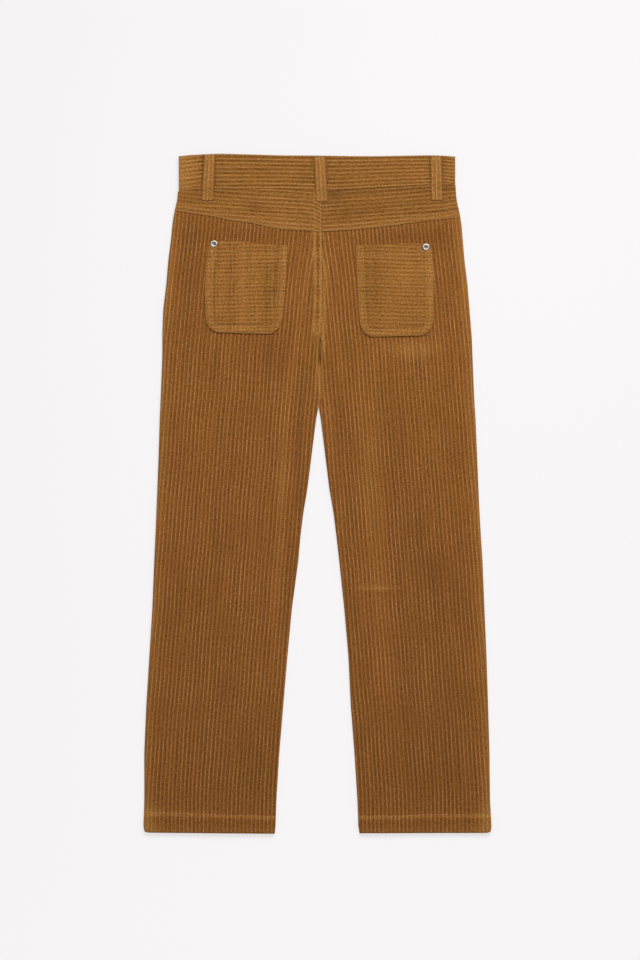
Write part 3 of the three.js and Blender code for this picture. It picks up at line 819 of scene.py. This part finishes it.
# Places on the yoke and the band painted darker and lighter: partly the lean of the pile, and
# partly painted shade and light, as in the shade below the waistband's edge
NAP_AND_SHADE_PATCHES = rows_of(
    ("side", "out", "down", "width", "length", "nap_and_painted_light"),
    [
        (-1, 69, 60, 14, 8, -0.13), (-1, 97, 60, 12, 6, 0.07), (-1, 41, 71, 17, 8, 0.1),
        (-1, 95, 43, 40, 5, -0.08), (-1, 136, 47, 8, 8, -0.1), (-1, 128, 64, 12, 7, 0.05),
        (-1, 15, 24, 9, 9, -0.12), (-1, 42, 14, 14, 6, -0.05), (-1, 70, 30, 16, 6, 0.05),
        (-1, 100, 12, 18, 6, 0.04), (-1, 24, 53, 10, 7, -0.05), (-1, 146, 20, 12, 16, 0.12),
        (1, 17, 47, 13, 9, -0.15), (1, 31, 63, 13, 12, -0.1), (1, 138, 46, 12, 7, -0.13),
        (1, 110, 58, 14, 7, -0.09), (1, 65, 61, 20, 6, -0.06), (1, 76, 74, 30, 5, 0.06),
        (1, 54, 30, 16, 7, 0.04), (1, 88, 29, 14, 6, -0.06), (1, 30, 34, 12, 5, -0.1),
        (1, 60, 12, 20, 5, -0.04), (1, 112, 20, 14, 9, 0.05), (1, 148, 60, 8, 10, 0.07),
    ],
)


def yoke(side):
    def place(share, inside, row):
        down = np.full_like(share, 62.0)
        for _ in range(3):
            inner, outer = centre_out(side, down), side_seam(side, down)
            out = inner + (outer - inner) * row
            top = band_seam(SIDES[side] * out)
            bottom = yoke_seam(side, out)
            down = top + (bottom - top) * share
        face, wale = yoke_face(side, out, down, top, bottom)
        under = front_top(side, out, down) + GAP
        at_weld = (share < 1e-9) | (share > 1 - 1e-9)
        meet = np.where(at_weld, face, under)
        nap_and_painted_light = patches(NAP_AND_SHADE_PATCHES, side, out, down)[1]
        nap_and_painted_light = nap_and_painted_light + 0.1 * bell(bottom - down - 3.6, 3.0)
        nap_and_painted_light = nap_and_painted_light + 0.16 * bell(bottom - down - 1.0, 1.2)
        # On the right the yoke is painted a little darker all over, and more in a painted shadow a
        # few millimetres below the waistband's edge
        if side == "right":
            nap_and_painted_light = nap_and_painted_light - 0.06 - 0.1 * bell(down - top - 4, 4)
        # Painted highlight along the side of the yoke, where it rounds over at the side seam
        rim = bell(side_seam(side, down) - out, 8)
        nap_and_painted_light = nap_and_painted_light + 0.08 * rim
        return SIDES[side] * out, LENGTH / 2 - down, np.where(inside, meet, face), wale, out, nap_and_painted_light

    rows = np.concatenate([np.linspace(0, 0.96, 64), 1 - 0.03 * np.linspace(1, 0, 9) ** 2])
    piece = cloth_shell(f"yoke_panel_{side}", shell_columns(90, 12), rows, place)
    finish_piece(piece, trim_corduroy, "corduroy_trim", f"yoke_{side}")
    return piece


for side in SIDES:
    yoke_piece = yoke(side)

# Waistband: one long strip of doubled corduroy with its wales round the waist, folded at both
# sides and closed in the middle of the front, underneath.

# Name, x at the top and at the end, and how far down the top and the end are
LOOPS = [
    ("left", -120.5, -123.0, 1.4, 52.4),
    ("centre", 2.4, 5.2, 3.6, 53.6),
    ("right", 132.4, 133.8, 2.6, 52.2),
]
LOOP_WIDTH = 13.2
TACK = 2.2
BAND_MIDDLE = 4.85
BAND_REACH = 2.95
FOLD_LEFT = 155.1 - BAND_REACH
FOLD_RIGHT = 154.2 - BAND_REACH
FOLD_ARC = math.pi * BAND_REACH


def band_path(run):
    """Place round the waistband, from the front middle over the left side, the back and the right
    side: the x of its middle line and the turn of its outward direction from straight up."""
    ends = np.cumsum([0, FOLD_LEFT, FOLD_ARC, FOLD_LEFT + FOLD_RIGHT, FOLD_ARC, FOLD_RIGHT])
    x = np.interp(run, ends, [-GAP / 2, -FOLD_LEFT, -FOLD_LEFT, FOLD_RIGHT, FOLD_RIGHT, GAP / 2])
    turn = np.interp(run, ends, [-math.pi, -math.pi, 0, 0, math.pi, math.pi])
    return x, turn


def band_place(share, inside, run):
    x, turn = band_path(run)
    top, bottom = band_top(x), band_seam(x)
    down = top + (bottom - top) * share
    # The wales drop at both sides, where the band is folded
    dropped = 0.45 * smoothstep(-x, 118, 155) + 0.3 * smoothstep(x, 132, 154)
    wale = share * 8.35 + 0.35 + 0.05 * np.sin(run / 19) - dropped
    edge = np.minimum(share, 1 - share) * (bottom - top)
    flat = np.cos(turn) ** 2
    relief = 0.95 * (1 - rib(wale)) * (0.12 + 0.88 * flat)
    dips = 0.35 * flat * bell(bottom - down - 1.6, 0.8)
    rounding = 1 - (0.04 + 0.26 * flat) * (1 - dome(edge, 1.8))
    reach = GAP / 2 + (BAND_REACH - GAP / 2 - relief - dips) * rounding
    at_weld = (share < 1e-9) | (share > 1 - 1e-9)
    reach = np.where(inside & ~at_weld, GAP / 2, reach)
    z = BAND_MIDDLE + np.cos(turn) * reach
    # Painted highlight where the band turns over at its folds, most at the left end and a little
    # at the right; the same lightening covers the band's front, underneath
    nap_and_painted_light = 0.1 * (np.abs(turn) > 0.1) + 0.18 * bell(x + 152, 17)
    nap_and_painted_light = nap_and_painted_light + 0.05 * bell(x - 150, 9)
    on_back = np.cos(turn) > 0.5
    for side, sign in SIDES.items():
        nap_and_painted_light = nap_and_painted_light + on_back * patches(NAP_AND_SHADE_PATCHES, side, sign * x, down)[1]
    # Painted shadows beside the belt loops, on the back of the band
    for _, x_top, x_end, _, _ in LOOPS:
        beside = np.abs(x - x_top - (x_end - x_top) * 0.4) - LOOP_WIDTH / 2
        nap_and_painted_light = nap_and_painted_light - 0.22 * on_back * bell(np.maximum(beside, 0), 2.2)
    return x + np.sin(turn) * reach, LENGTH / 2 - down, z, wale, run, nap_and_painted_light


corner = np.linspace(0, FOLD_ARC, 13)
BAND_RUNS = np.concatenate([
    np.linspace(0, FOLD_LEFT, 36)[:-1], FOLD_LEFT + corner[:-1],
    FOLD_LEFT + FOLD_ARC + np.linspace(0, FOLD_LEFT + FOLD_RIGHT, 90)[:-1],
    2 * FOLD_LEFT + FOLD_ARC + FOLD_RIGHT + corner[:-1],
    2 * FOLD_LEFT + 2 * FOLD_ARC + FOLD_RIGHT + np.linspace(0, FOLD_RIGHT, 36),
])
band = cloth_shell("waistband_strip", shell_columns(84, 6), BAND_RUNS, band_place)
finish_piece(band, trim_corduroy, "corduroy_trim", "waistband")

# Patch pockets: painted lighter than the panels, as a lit copy of the same corduroy, for the light
# that their wales, lying across, catch. Each has a hemmed mouth and two rows of stitching, with a
# soft raised channel between them where the edge is turned under.

pocket_corduroy = corduroy(
    "golden brown cotton corduroy, pockets", "#93612a", "#a67540", "#7d4e1b", crush=2.5
)
POCKETS = {
    "left": rows_of(
        ("down", "inner", "outer"),
        [(92, 32.2, 119.8), (97, 32.4, 120.6), (107, 33.0, 122.4), (129, 33.8, 125.6),
         (150, 35.2, 126.7), (182, 38.6, 125.8), (196, 41.0, 124.0), (205, 42.4, 123.4)],
    ),
    "right": rows_of(
        ("down", "inner", "outer"),
        [(92, 41.2, 124.0), (99, 41.8, 126.2), (110, 42.5, 129.0), (143, 43.8, 130.6),
         (177, 45.6, 130.6), (190, 47.2, 129.6), (197, 48.4, 128.4), (207, 49.6, 127.4)],
    ),
}
MOUTH = {"left": (102.0, 95.8), "right": (101.6, 99.6)}
POCKET_BOTTOM = {"left": (202.6, 200.4), "right": (205.8, 204.0)}
CORNER = 15.0
CHANNEL = 8.6
POCKET_ROW = 1.4
MOUTH_HEM = 12.0
POCKET_WIDTH = 87.0
POCKET_DEPTH = 101.0


def pocket_spot(side, share, row):
    """A pocket's point from its shares down and across: out, down and distance to its edges."""
    inner_mouth, outer_mouth = MOUTH[side]
    inner_bottom, outer_bottom = POCKET_BOTTOM[side]
    table = POCKETS[side]
    top = inner_mouth + (outer_mouth - inner_mouth) * row + 0.5 * np.sin(row * 7)
    from_side = np.minimum(row, 1 - row) * POCKET_WIDTH
    rise = CORNER * (1 - dome(from_side, CORNER))
    bottom = inner_bottom + (outer_bottom - inner_bottom) * row - rise
    down = top + (bottom - top) * share
    inner = curve(table, "down", "inner", down, ease=4.0)
    outer = curve(table, "down", "outer", down, ease=4.0)
    out = inner + (outer - inner) * row
    # Distance to the outline, with the round of the lower corners
    deep = np.maximum(CORNER - from_side, 0)
    low = np.maximum(CORNER - (bottom + rise - down), 0)
    in_corner = (deep > 0) & (low > 0)
    rounded = CORNER - np.hypot(deep, low)
    straight = np.minimum(from_side, bottom + rise - down)
    edge = np.where(in_corner, rounded, straight)
    return out, down, np.maximum(edge, 0), down - top


def pocket_face(side, out, down, edge, mouth):
    wale = (down - 0.03 * out) / WALE + 0.04 * np.sin(out / 9)
    channel = 0.75 * np.sin(np.clip(edge / CHANNEL, 0, 1) * math.pi) ** 0.7
    rows = 0.5 * bell(edge - CHANNEL, 0.9)
    rows = rows + 0.4 * bell(edge - POCKET_ROW, 0.7)
    rows = rows + 0.35 * bell(mouth - MOUTH_HEM, 0.9)
    sag = 0.5 * np.sin(out / 11) * np.sin(down / 17)
    full = 2.1 - 0.32 * (1 - rib(wale)) + channel - rows + 0.4 + 0.4 * sag
    ends = np.minimum(edge, mouth)
    under = back_under(side, out, down) + CROWN - 0.1
    return under + full * dome(ends, 2.2), under, wale


# Streaks down the pockets, where they lie over the wales of the panel: painted light and shade of
# the panel's wales printing through
PRINT_THROUGH_SHADE = rows_of(
    ("side", "out", "down", "width", "length", "nap_and_painted_light"),
    [
        (-1, 84, 150, 5, 60, 0.10), (-1, 97, 150, 4.5, 70, -0.08), (-1, 57, 160, 4, 42, -0.13),
        (-1, 46, 160, 2.6, 44, -0.12), (1, 62, 148, 12, 36, -0.06), (1, 120, 150, 7, 50, 0.05),
        (-1, 70, 140, 4, 50, 0.05), (-1, 106, 140, 3, 50, 0.04), (-1, 63, 120, 4, 30, 0.03),
        (1, 98, 136, 14, 22, 0.07), (1, 66, 150, 5, 50, -0.05), (1, 112, 160, 6, 50, -0.04),
        (1, 80, 180, 10, 20, 0.03),
    ],
)
PRINT_THROUGH_SHADE_STRENGTH = 1.35


def pocket_painted_light(side, out, down, edge):
    # Painted highlight along the raised channel by the edge, and painted shade just inside its
    # inner row
    nap_and_painted_light = 0.15 * bell(edge - 4.2, 3.4)
    nap_and_painted_light = nap_and_painted_light - 0.11 * bell(edge - CHANNEL - 2.2, 1.8)
    nap_and_painted_light = nap_and_painted_light + PRINT_THROUGH_SHADE_STRENGTH * patches(PRINT_THROUGH_SHADE, side, out, down)[1]
    # The wales of the panel under the pocket print through as faint upright stripes of painted
    # light and shade
    stripes = np.sin(out * math.tau / WALE + np.sin(down / 9))
    stripes = stripes * (0.6 + 0.4 * np.sin(down / 5.3 + out))
    depth = 0.25 if side == "left" else 0.12
    return nap_and_painted_light + depth * stripes * (0.55 + 0.45 * np.sin(out * 0.31 + down / 37))


def pocket(side):
    def place(share, inside, row):
        out, down, edge, mouth = pocket_spot(side, share, row)
        face, under, wale = pocket_face(side, out, down, edge, mouth)
        under = np.where(inside, under, face)
        nap_and_painted_light = pocket_painted_light(side, out, down, edge)
        return SIDES[side] * out, LENGTH / 2 - down, under, wale, out, nap_and_painted_light

    rows = 0.5 - 0.5 * np.cos(np.linspace(0, 1, 111) * math.pi)
    rows = 0.75 * np.linspace(0, 1, 111) + 0.25 * rows
    piece = cloth_shell(f"patch_pocket_{side}", shell_columns(150, 14), rows, place)
    finish_piece(piece, pocket_corduroy, "corduroy_trim", f"pocket_{side}")
    return piece


for side in SIDES:
    pocket_piece = pocket(side)

# Belt loops: folded strips with three wales along them, sewn down over the waistband and onto the
# yoke behind, and over the waistband in front, where the trousers lie on them.

# The loops' corduroy is painted lighter still than the panels': painted light, for the light that
# the raised loops catch
loop_corduroy = corduroy(
    "golden brown cotton corduroy, loops", "#9b6a33", "#ac7b43", "#8f5f2a", crush=2.4
)
BAND_FACE = BAND_MIDDLE + BAND_REACH


def loop_under(x_top, down_top, down_end, down):
    """The inside of a loop: it stands a little off the waistband and drops to the yoke."""
    seam = band_seam(x_top)
    on_yoke = smoothstep(down, seam - 2, seam + 5)
    ends = np.minimum(down - down_top, down_end - down)
    arch = 0.7 * dome(ends, 9.0) * (1 - on_yoke)
    yoke_top = layer_lift(down) + FRONT_WALL + CROWN + 0.4
    return (BAND_FACE + 0.1) * (1 - on_yoke) + yoke_top * on_yoke + arch


def belt_loop(name, node, x_top, x_end, down_top, down_end):
    def place(share, inside, down):
        along = (down - down_top) / (down_end - down_top)
        x = x_top + (x_end - x_top) * along + (share - 0.5) * LOOP_WIDTH
        ends = np.minimum(down - down_top, down_end - down)
        under = loop_under(x_top, down_top, down_end, down)
        wale = share * 3
        edge = np.minimum(share, 1 - share) * LOOP_WIDTH
        full = 1.9 - 0.4 * (1 - rib(wale)) * dome(edge, 2.0)
        tacks = 0.5 * bell(ends - TACK, 0.9)
        face = under + (full - tacks) * dome(edge, 1.4) * (0.4 + 0.6 * dome(ends, 1.4))
        return x, LENGTH / 2 - down, np.where(inside, under, face), wale, down, 0.0

    rows = down_top + (down_end - down_top) * (0.5 - 0.5 * np.cos(np.linspace(0, 1, 29) * math.pi))
    piece = cloth_shell(name, shell_columns(24, 6), rows, place)
    finish_piece(piece, loop_corduroy, "corduroy_loop", node)
    return piece


for name, x_top, x_end, down_top, down_end in LOOPS:
    loop = belt_loop(f"belt_loop_{name}", f"back_loop_{name}", x_top, x_end, down_top, down_end)


FRONT_LOOP_OUT = 82
FRONT_LOOP_HEIGHT = 1.5


def front_loop(side):
    centre = SIDES[side] * FRONT_LOOP_OUT

    def place(share, inside, down):
        edge = np.minimum(np.minimum(share, 1 - share) * LOOP_WIDTH, 9.0)
        ends = np.minimum(down - 3, 52 - down)
        wale = share * 3
        full = FRONT_LOOP_HEIGHT - 0.5 * (1 - rib(wale))
        face = FRONT_LOOP_HEIGHT - full * dome(edge, 1.4) * (0.4 + 0.6 * dome(ends, 1.4))
        x = centre + (share - 0.5) * LOOP_WIDTH
        z = np.where(inside, FRONT_LOOP_HEIGHT, face)
        return x, LENGTH / 2 - down, z, wale, down, 0.0

    piece = cloth_shell(
        f"belt_loop_front_{side}", shell_columns(24, 4), np.linspace(3, 52, 20), place
    )
    finish_piece(piece, loop_corduroy, "corduroy_loop", f"front_loop_{side}")
    return piece


for side in SIDES:
    loop = front_loop(side)

# Rivets and the front button: nickel-plated brass, turned and polished, left without any mark.


def nickel_plate(name, colour, roughness):
    """Nickel over turned brass: a warm grey mirror that fine scratches and handling have dulled,
    here and there more and here and there less."""
    material, tree, shader = new_material(name)
    place = add_node(tree, "ShaderNodeTexCoord").outputs["Object"]
    scratches = add_node(
        tree, "ShaderNodeTexNoise", {"Vector": place, "Scale": 900.0, "Detail": 2.0}
    )
    handled = add_node(
        tree, "ShaderNodeMapRange",
        {"Value": scratches.outputs["Fac"], "From Min": 0.3, "From Max": 0.7,
         "To Min": roughness - 0.08, "To Max": roughness + 0.1},
    )
    bump = add_node(
        tree, "ShaderNodeBump",
        {"Height": scratches.outputs["Fac"], "Strength": 0.12, "Distance": 0.0001},
    )
    tree.links.new(handled.outputs[0], shader.inputs["Roughness"])
    tree.links.new(bump.outputs[0], shader.inputs["Normal"])
    shader.inputs["Base Color"].default_value = linear(colour)
    shader.inputs["Metallic"].default_value = 1.0
    return material


nickel = nickel_plate("satin nickel plate", "#b3b0aa", 0.34)
dulled_nickel = nickel_plate("tarnished nickel plate", "#6b675f", 0.5)


def turned_piece(name, profile, x, down, z):
    """A turned metal part: its profile of radius and height, spun about an upright axis."""
    metal = bmesh.new()
    points = [metal.verts.new((radius * MM, 0, height * MM)) for radius, height in profile]
    edges = [metal.edges.new(pair) for pair in zip(points, points[1:])]
    bmesh.ops.spin(
        metal, geom=points + edges, cent=(0, 0, 0), axis=(0, 0, 1), angle=math.tau, steps=48,
        use_merge=True,
    )
    bmesh.ops.remove_doubles(metal, verts=metal.verts, dist=1e-6)
    bmesh.ops.recalc_face_normals(metal, faces=metal.faces)
    bmesh.ops.translate(metal, verts=metal.verts, vec=(x * MM, (LENGTH / 2 - down) * MM, z * MM))
    for face in metal.faces:
        face.smooth = True
    return add_object(name, finished_mesh(name, metal))


RIVETS = {"left": (115.6, 100.8), "right": (121.4, 104.4)}
RIVET_PROFILE = [
    (0, 0), (3.8, 0), (4.0, 0.25), (3.9, 0.7), (3.4, 1.05), (2.8, 1.15), (2.2, 1.05), (1.8, 0.7),
    (1.5, 0.32), (0.9, 0.36), (0, 0.4),
]
RECESS = 1.75
for side, (out, down) in RIVETS.items():
    place_out, place_down = np.array([out]), np.array([down])
    seat, _, _ = pocket_face(side, place_out, place_down, np.array([5.0]), np.array([5.0]))
    x = SIDES[side] * out
    rivet = turned_piece(f"pocket_rivet_{side}", RIVET_PROFILE, x, down, seat[0] - 0.3)
    finish_piece(rivet, nickel, "nickel", f"rivet_{side}")
    rivet.data.materials.append(dulled_nickel)
    middle = Vector((x * MM, (LENGTH / 2 - down) * MM))
    for face in rivet.data.polygons:
        inside = (face.center.xy - middle).length < RECESS * MM
        face.material_index = int(inside and face.normal.z > 0)

BUTTON_PROFILE = [
    (0, 0.5), (4.2, 0.5), (5.0, 0.15), (7.2, 0.0), (8.2, 0.3), (8.5, 0.9), (8.1, 1.4), (7.0, 1.6),
    (0, 1.6),
]
button = turned_piece("waist_button", BUTTON_PROFILE, 10, 19, 0)
finish_piece(button, nickel, "nickel", "front_button")

# Sewing: golden polyester thread, spun and slightly glossy, in rows of lockstitch that sink into
# the pile. Real thread is 0.4 mm thick; this is drawn 1 mm thick, so that it shows.

STITCH = 2.9
STITCH_PITCH = 3.6
THREAD = 1.0

sewing_thread, thread_tree, thread_shader = new_material("golden polyester thread")
# Plies, 0.5 mm long, are painted as a light and a dark side of each turn: painted highlight and
# shade
plies = add_node(
    thread_tree, "ShaderNodeTexNoise",
    {"Vector": add_node(thread_tree, "ShaderNodeTexCoord").outputs["Object"], "Scale": 2000.0,
     "Detail": 1.0},
)
thread_colour = add_node(
    thread_tree, "ShaderNodeMix",
    {0: plies.outputs["Fac"], 6: linear("#9c6d2e"), 7: linear("#c59150")}, data_type="RGBA",
)
thread_bump = add_node(
    thread_tree, "ShaderNodeBump",
    {"Height": plies.outputs["Fac"], "Strength": 0.4, "Distance": 0.0002},
)
thread_tree.links.new(thread_colour.outputs[2], thread_shader.inputs["Base Color"])
thread_tree.links.new(thread_bump.outputs[0], thread_shader.inputs["Normal"])
thread_shader.inputs["Roughness"].default_value = 0.55
thread_shader.inputs["Sheen Weight"].default_value = 0.1


def stitches(name, rows):
    """Rows of stitches as one piece. Each row is a line of x, down and height."""
    thread = bmesh.new()
    for x, down, height in rows:
        line = np.stack([x, LENGTH / 2 - down, height + np.zeros_like(x)], axis=1)
        steps = np.linalg.norm(np.diff(line, axis=0), axis=1)
        reach = np.concatenate([[0], np.cumsum(steps)])
        for first in np.arange(0.4, reach[-1] - STITCH, STITCH_PITCH):
            ends = [
                Vector([np.interp(at, reach, line[:, i]) for i in range(3)])
                for at in (first, first + STITCH)
            ]
            run = ends[1] - ends[0]
            turn = run.to_track_quat("X", "Z").to_matrix().to_4x4()
            size = Matrix.Diagonal((run.length / 2, THREAD / 2, THREAD / 3, 1))
            middle = Matrix.Scale(MM, 4) @ Matrix.Translation((ends[0] + ends[1]) / 2)
            bmesh.ops.create_uvsphere(
                thread, u_segments=6, v_segments=4, radius=1.0, matrix=middle @ turn @ size
            )
    for face in thread.faces:
        face.smooth = True
    finish_piece(add_object(name, finished_mesh(name, thread)), sewing_thread, "sewing_thread")


def settled(height, spots=7):
    """The height of a taut thread over ribs: their height, evened out over a stitch."""
    padded = np.pad(height, spots // 2, mode="edge")
    return np.convolve(padded, np.ones(spots) / spots, mode="valid") + 0.22


HEM_ROW = 740.0


def hem_row(side):
    out = np.linspace(front_inner(side, HEM_ROW) + 1.5, side_seam(side, HEM_ROW) - 1.5, 300)
    down = hem_line(side, out)
    inner_gap, outer_gap = out - back_inner(side, down), side_seam(side, down) - out
    height, _ = back_face(side, out, down, inner_gap, outer_gap, hem_end(side, out) - down)
    return SIDES[side] * out, down, settled(height)


def yoke_row(side, above):
    out = np.linspace(centre_out(side, 86.0) + 1.2, 157.5, 320)
    bottom = yoke_seam(side, out)
    down = bottom - above
    height, _ = yoke_face(side, out, down, band_seam(SIDES[side] * out), bottom)
    return SIDES[side] * out, down, settled(height)


def seat_row(from_seam, top, end):
    """A row down the lapped centre seam, on the left of it."""
    down = np.arange(top, end, 0.5)
    out = centre_out("left", down) + slit(down) + from_seam
    on_yoke = down < 86
    bottom = yoke_seam("left", out)
    upper, _ = yoke_face("left", out, down, band_seam(-out), bottom)
    gap = np.full_like(down, from_seam)
    lower, _ = back_face("left", out, down, gap, side_seam("left", down) - out, LENGTH - down)
    return -out, down, settled(np.where(on_yoke, upper, lower))


def pocket_row(side, edge):
    """A row round a pocket's sides and bottom, at a distance from its edge."""
    inner_mouth, outer_mouth = MOUTH[side]
    inner_bottom, outer_bottom = POCKET_BOTTOM[side]
    turn = np.linspace(0, math.pi / 2, 30)
    radius = CORNER - edge
    down_side = np.linspace(inner_bottom - inner_mouth - 1.5, CORNER, 190)
    from_side = np.concatenate([np.full(190, edge), CORNER - radius * np.cos(turn)])
    up = np.concatenate([down_side, CORNER - radius * np.sin(turn)])
    along_bottom = np.linspace(CORNER, POCKET_WIDTH - CORNER, 110)
    row = np.concatenate([from_side, along_bottom, POCKET_WIDTH - from_side[::-1]]) / POCKET_WIDTH
    up = np.concatenate([up, np.full(110, edge), up[::-1]])
    down = inner_bottom + (outer_bottom - inner_bottom) * row - up
    table = POCKETS[side]
    inner = curve(table, "down", "inner", down, ease=4.0)
    outer = curve(table, "down", "outer", down, ease=4.0)
    out = inner + (outer - inner) * row
    mouth = down - inner_mouth - (outer_mouth - inner_mouth) * row
    height, _, _ = pocket_face(side, out, down, np.full_like(out, edge), mouth)
    return SIDES[side] * out, down, settled(height)


def mouth_row(side):
    """The row that holds the hem of a pocket's mouth."""
    row = np.linspace(0.02, 0.98, 180)
    share = np.full_like(row, MOUTH_HEM / POCKET_DEPTH)
    out, down, edge, mouth = pocket_spot(side, share, row)
    height, _, _ = pocket_face(side, out, down, edge, mouth)
    return SIDES[side] * out, down, settled(height)


def loop_tack(x, down, height):
    """A bar of thread across the end of a belt loop."""
    across = np.linspace(-LOOP_WIDTH / 2 + 0.8, LOOP_WIDTH / 2 - 0.8, 30)
    return x + across, np.full_like(across, down), np.full_like(across, height)


# Height of a thread's middle above the lowest point of the front panels' face
UNDERSIDE = 0.42


def front_hem_row(side):
    out = np.linspace(front_inner(side, HEM_ROW) + 2.5, side_seam(side, HEM_ROW) - 2.5, 300)
    return SIDES[side] * out, hem_line(side, out), np.full_like(out, UNDERSIDE)


def front_mouth_row(side):
    down = np.linspace(46, MOUTH_END - 6, 250)
    out = mouth_out(side, down) - MOUTH_ROW
    return SIDES[side] * out, down, layer_lift(down) + UNDERSIDE


def fly_row():
    turn = np.linspace(0, math.pi / 2 - 0.06, 60)
    straight = np.linspace(46, FLY_STRAIGHT, 170)
    down = np.concatenate([straight, FLY_STRAIGHT + FLY_CURVE * np.sin(turn)])
    from_seam = np.concatenate([np.full(170, FLY_WIDTH), FLY_WIDTH * np.cos(turn)])
    return -front_inner("left", down) - from_seam, down, layer_lift(down) + UNDERSIDE


for side in SIDES:
    stitches(f"hem_stitching_{side}", [hem_row(side), front_hem_row(side)])
    stitches(f"front_pocket_stitching_{side}", [front_mouth_row(side)])
    rows = [yoke_row(side, YOKE_LOWER), yoke_row(side, YOKE_UPPER)]
    stitches(f"yoke_stitching_{side}", rows)
    rows = [pocket_row(side, POCKET_ROW), pocket_row(side, CHANNEL), mouth_row(side)]
    stitches(f"pocket_stitching_{side}", rows)
stitches("seat_stitching", [seat_row(gap, 42, 203) for gap in (LAP_INNER, LAP_OUTER)])
stitches("fly_stitching", [fly_row()])

tacks = []
for _, x_top, x_end, down_top, down_end in LOOPS:
    for x, down in ((x_top, down_top + TACK), (x_end, down_end - TACK)):
        height = loop_under(x_top, down_top, down_end, np.array([down]))[0] + 1.55
        tacks += [loop_tack(x, down - 0.5, height), loop_tack(x, down + 0.5, height)]
stitches("loop_tacks", tacks)

# The waistband's row runs round it, behind and in front
across = np.linspace(-FOLD_LEFT, FOLD_RIGHT, 500)
sunk = BAND_REACH - 0.55
stitches(
    "waistband_stitching",
    [
        (across, band_seam(across) - 1.6, np.full_like(across, height))
        for height in (BAND_MIDDLE + sunk, BAND_MIDDLE - sunk)
    ],
)
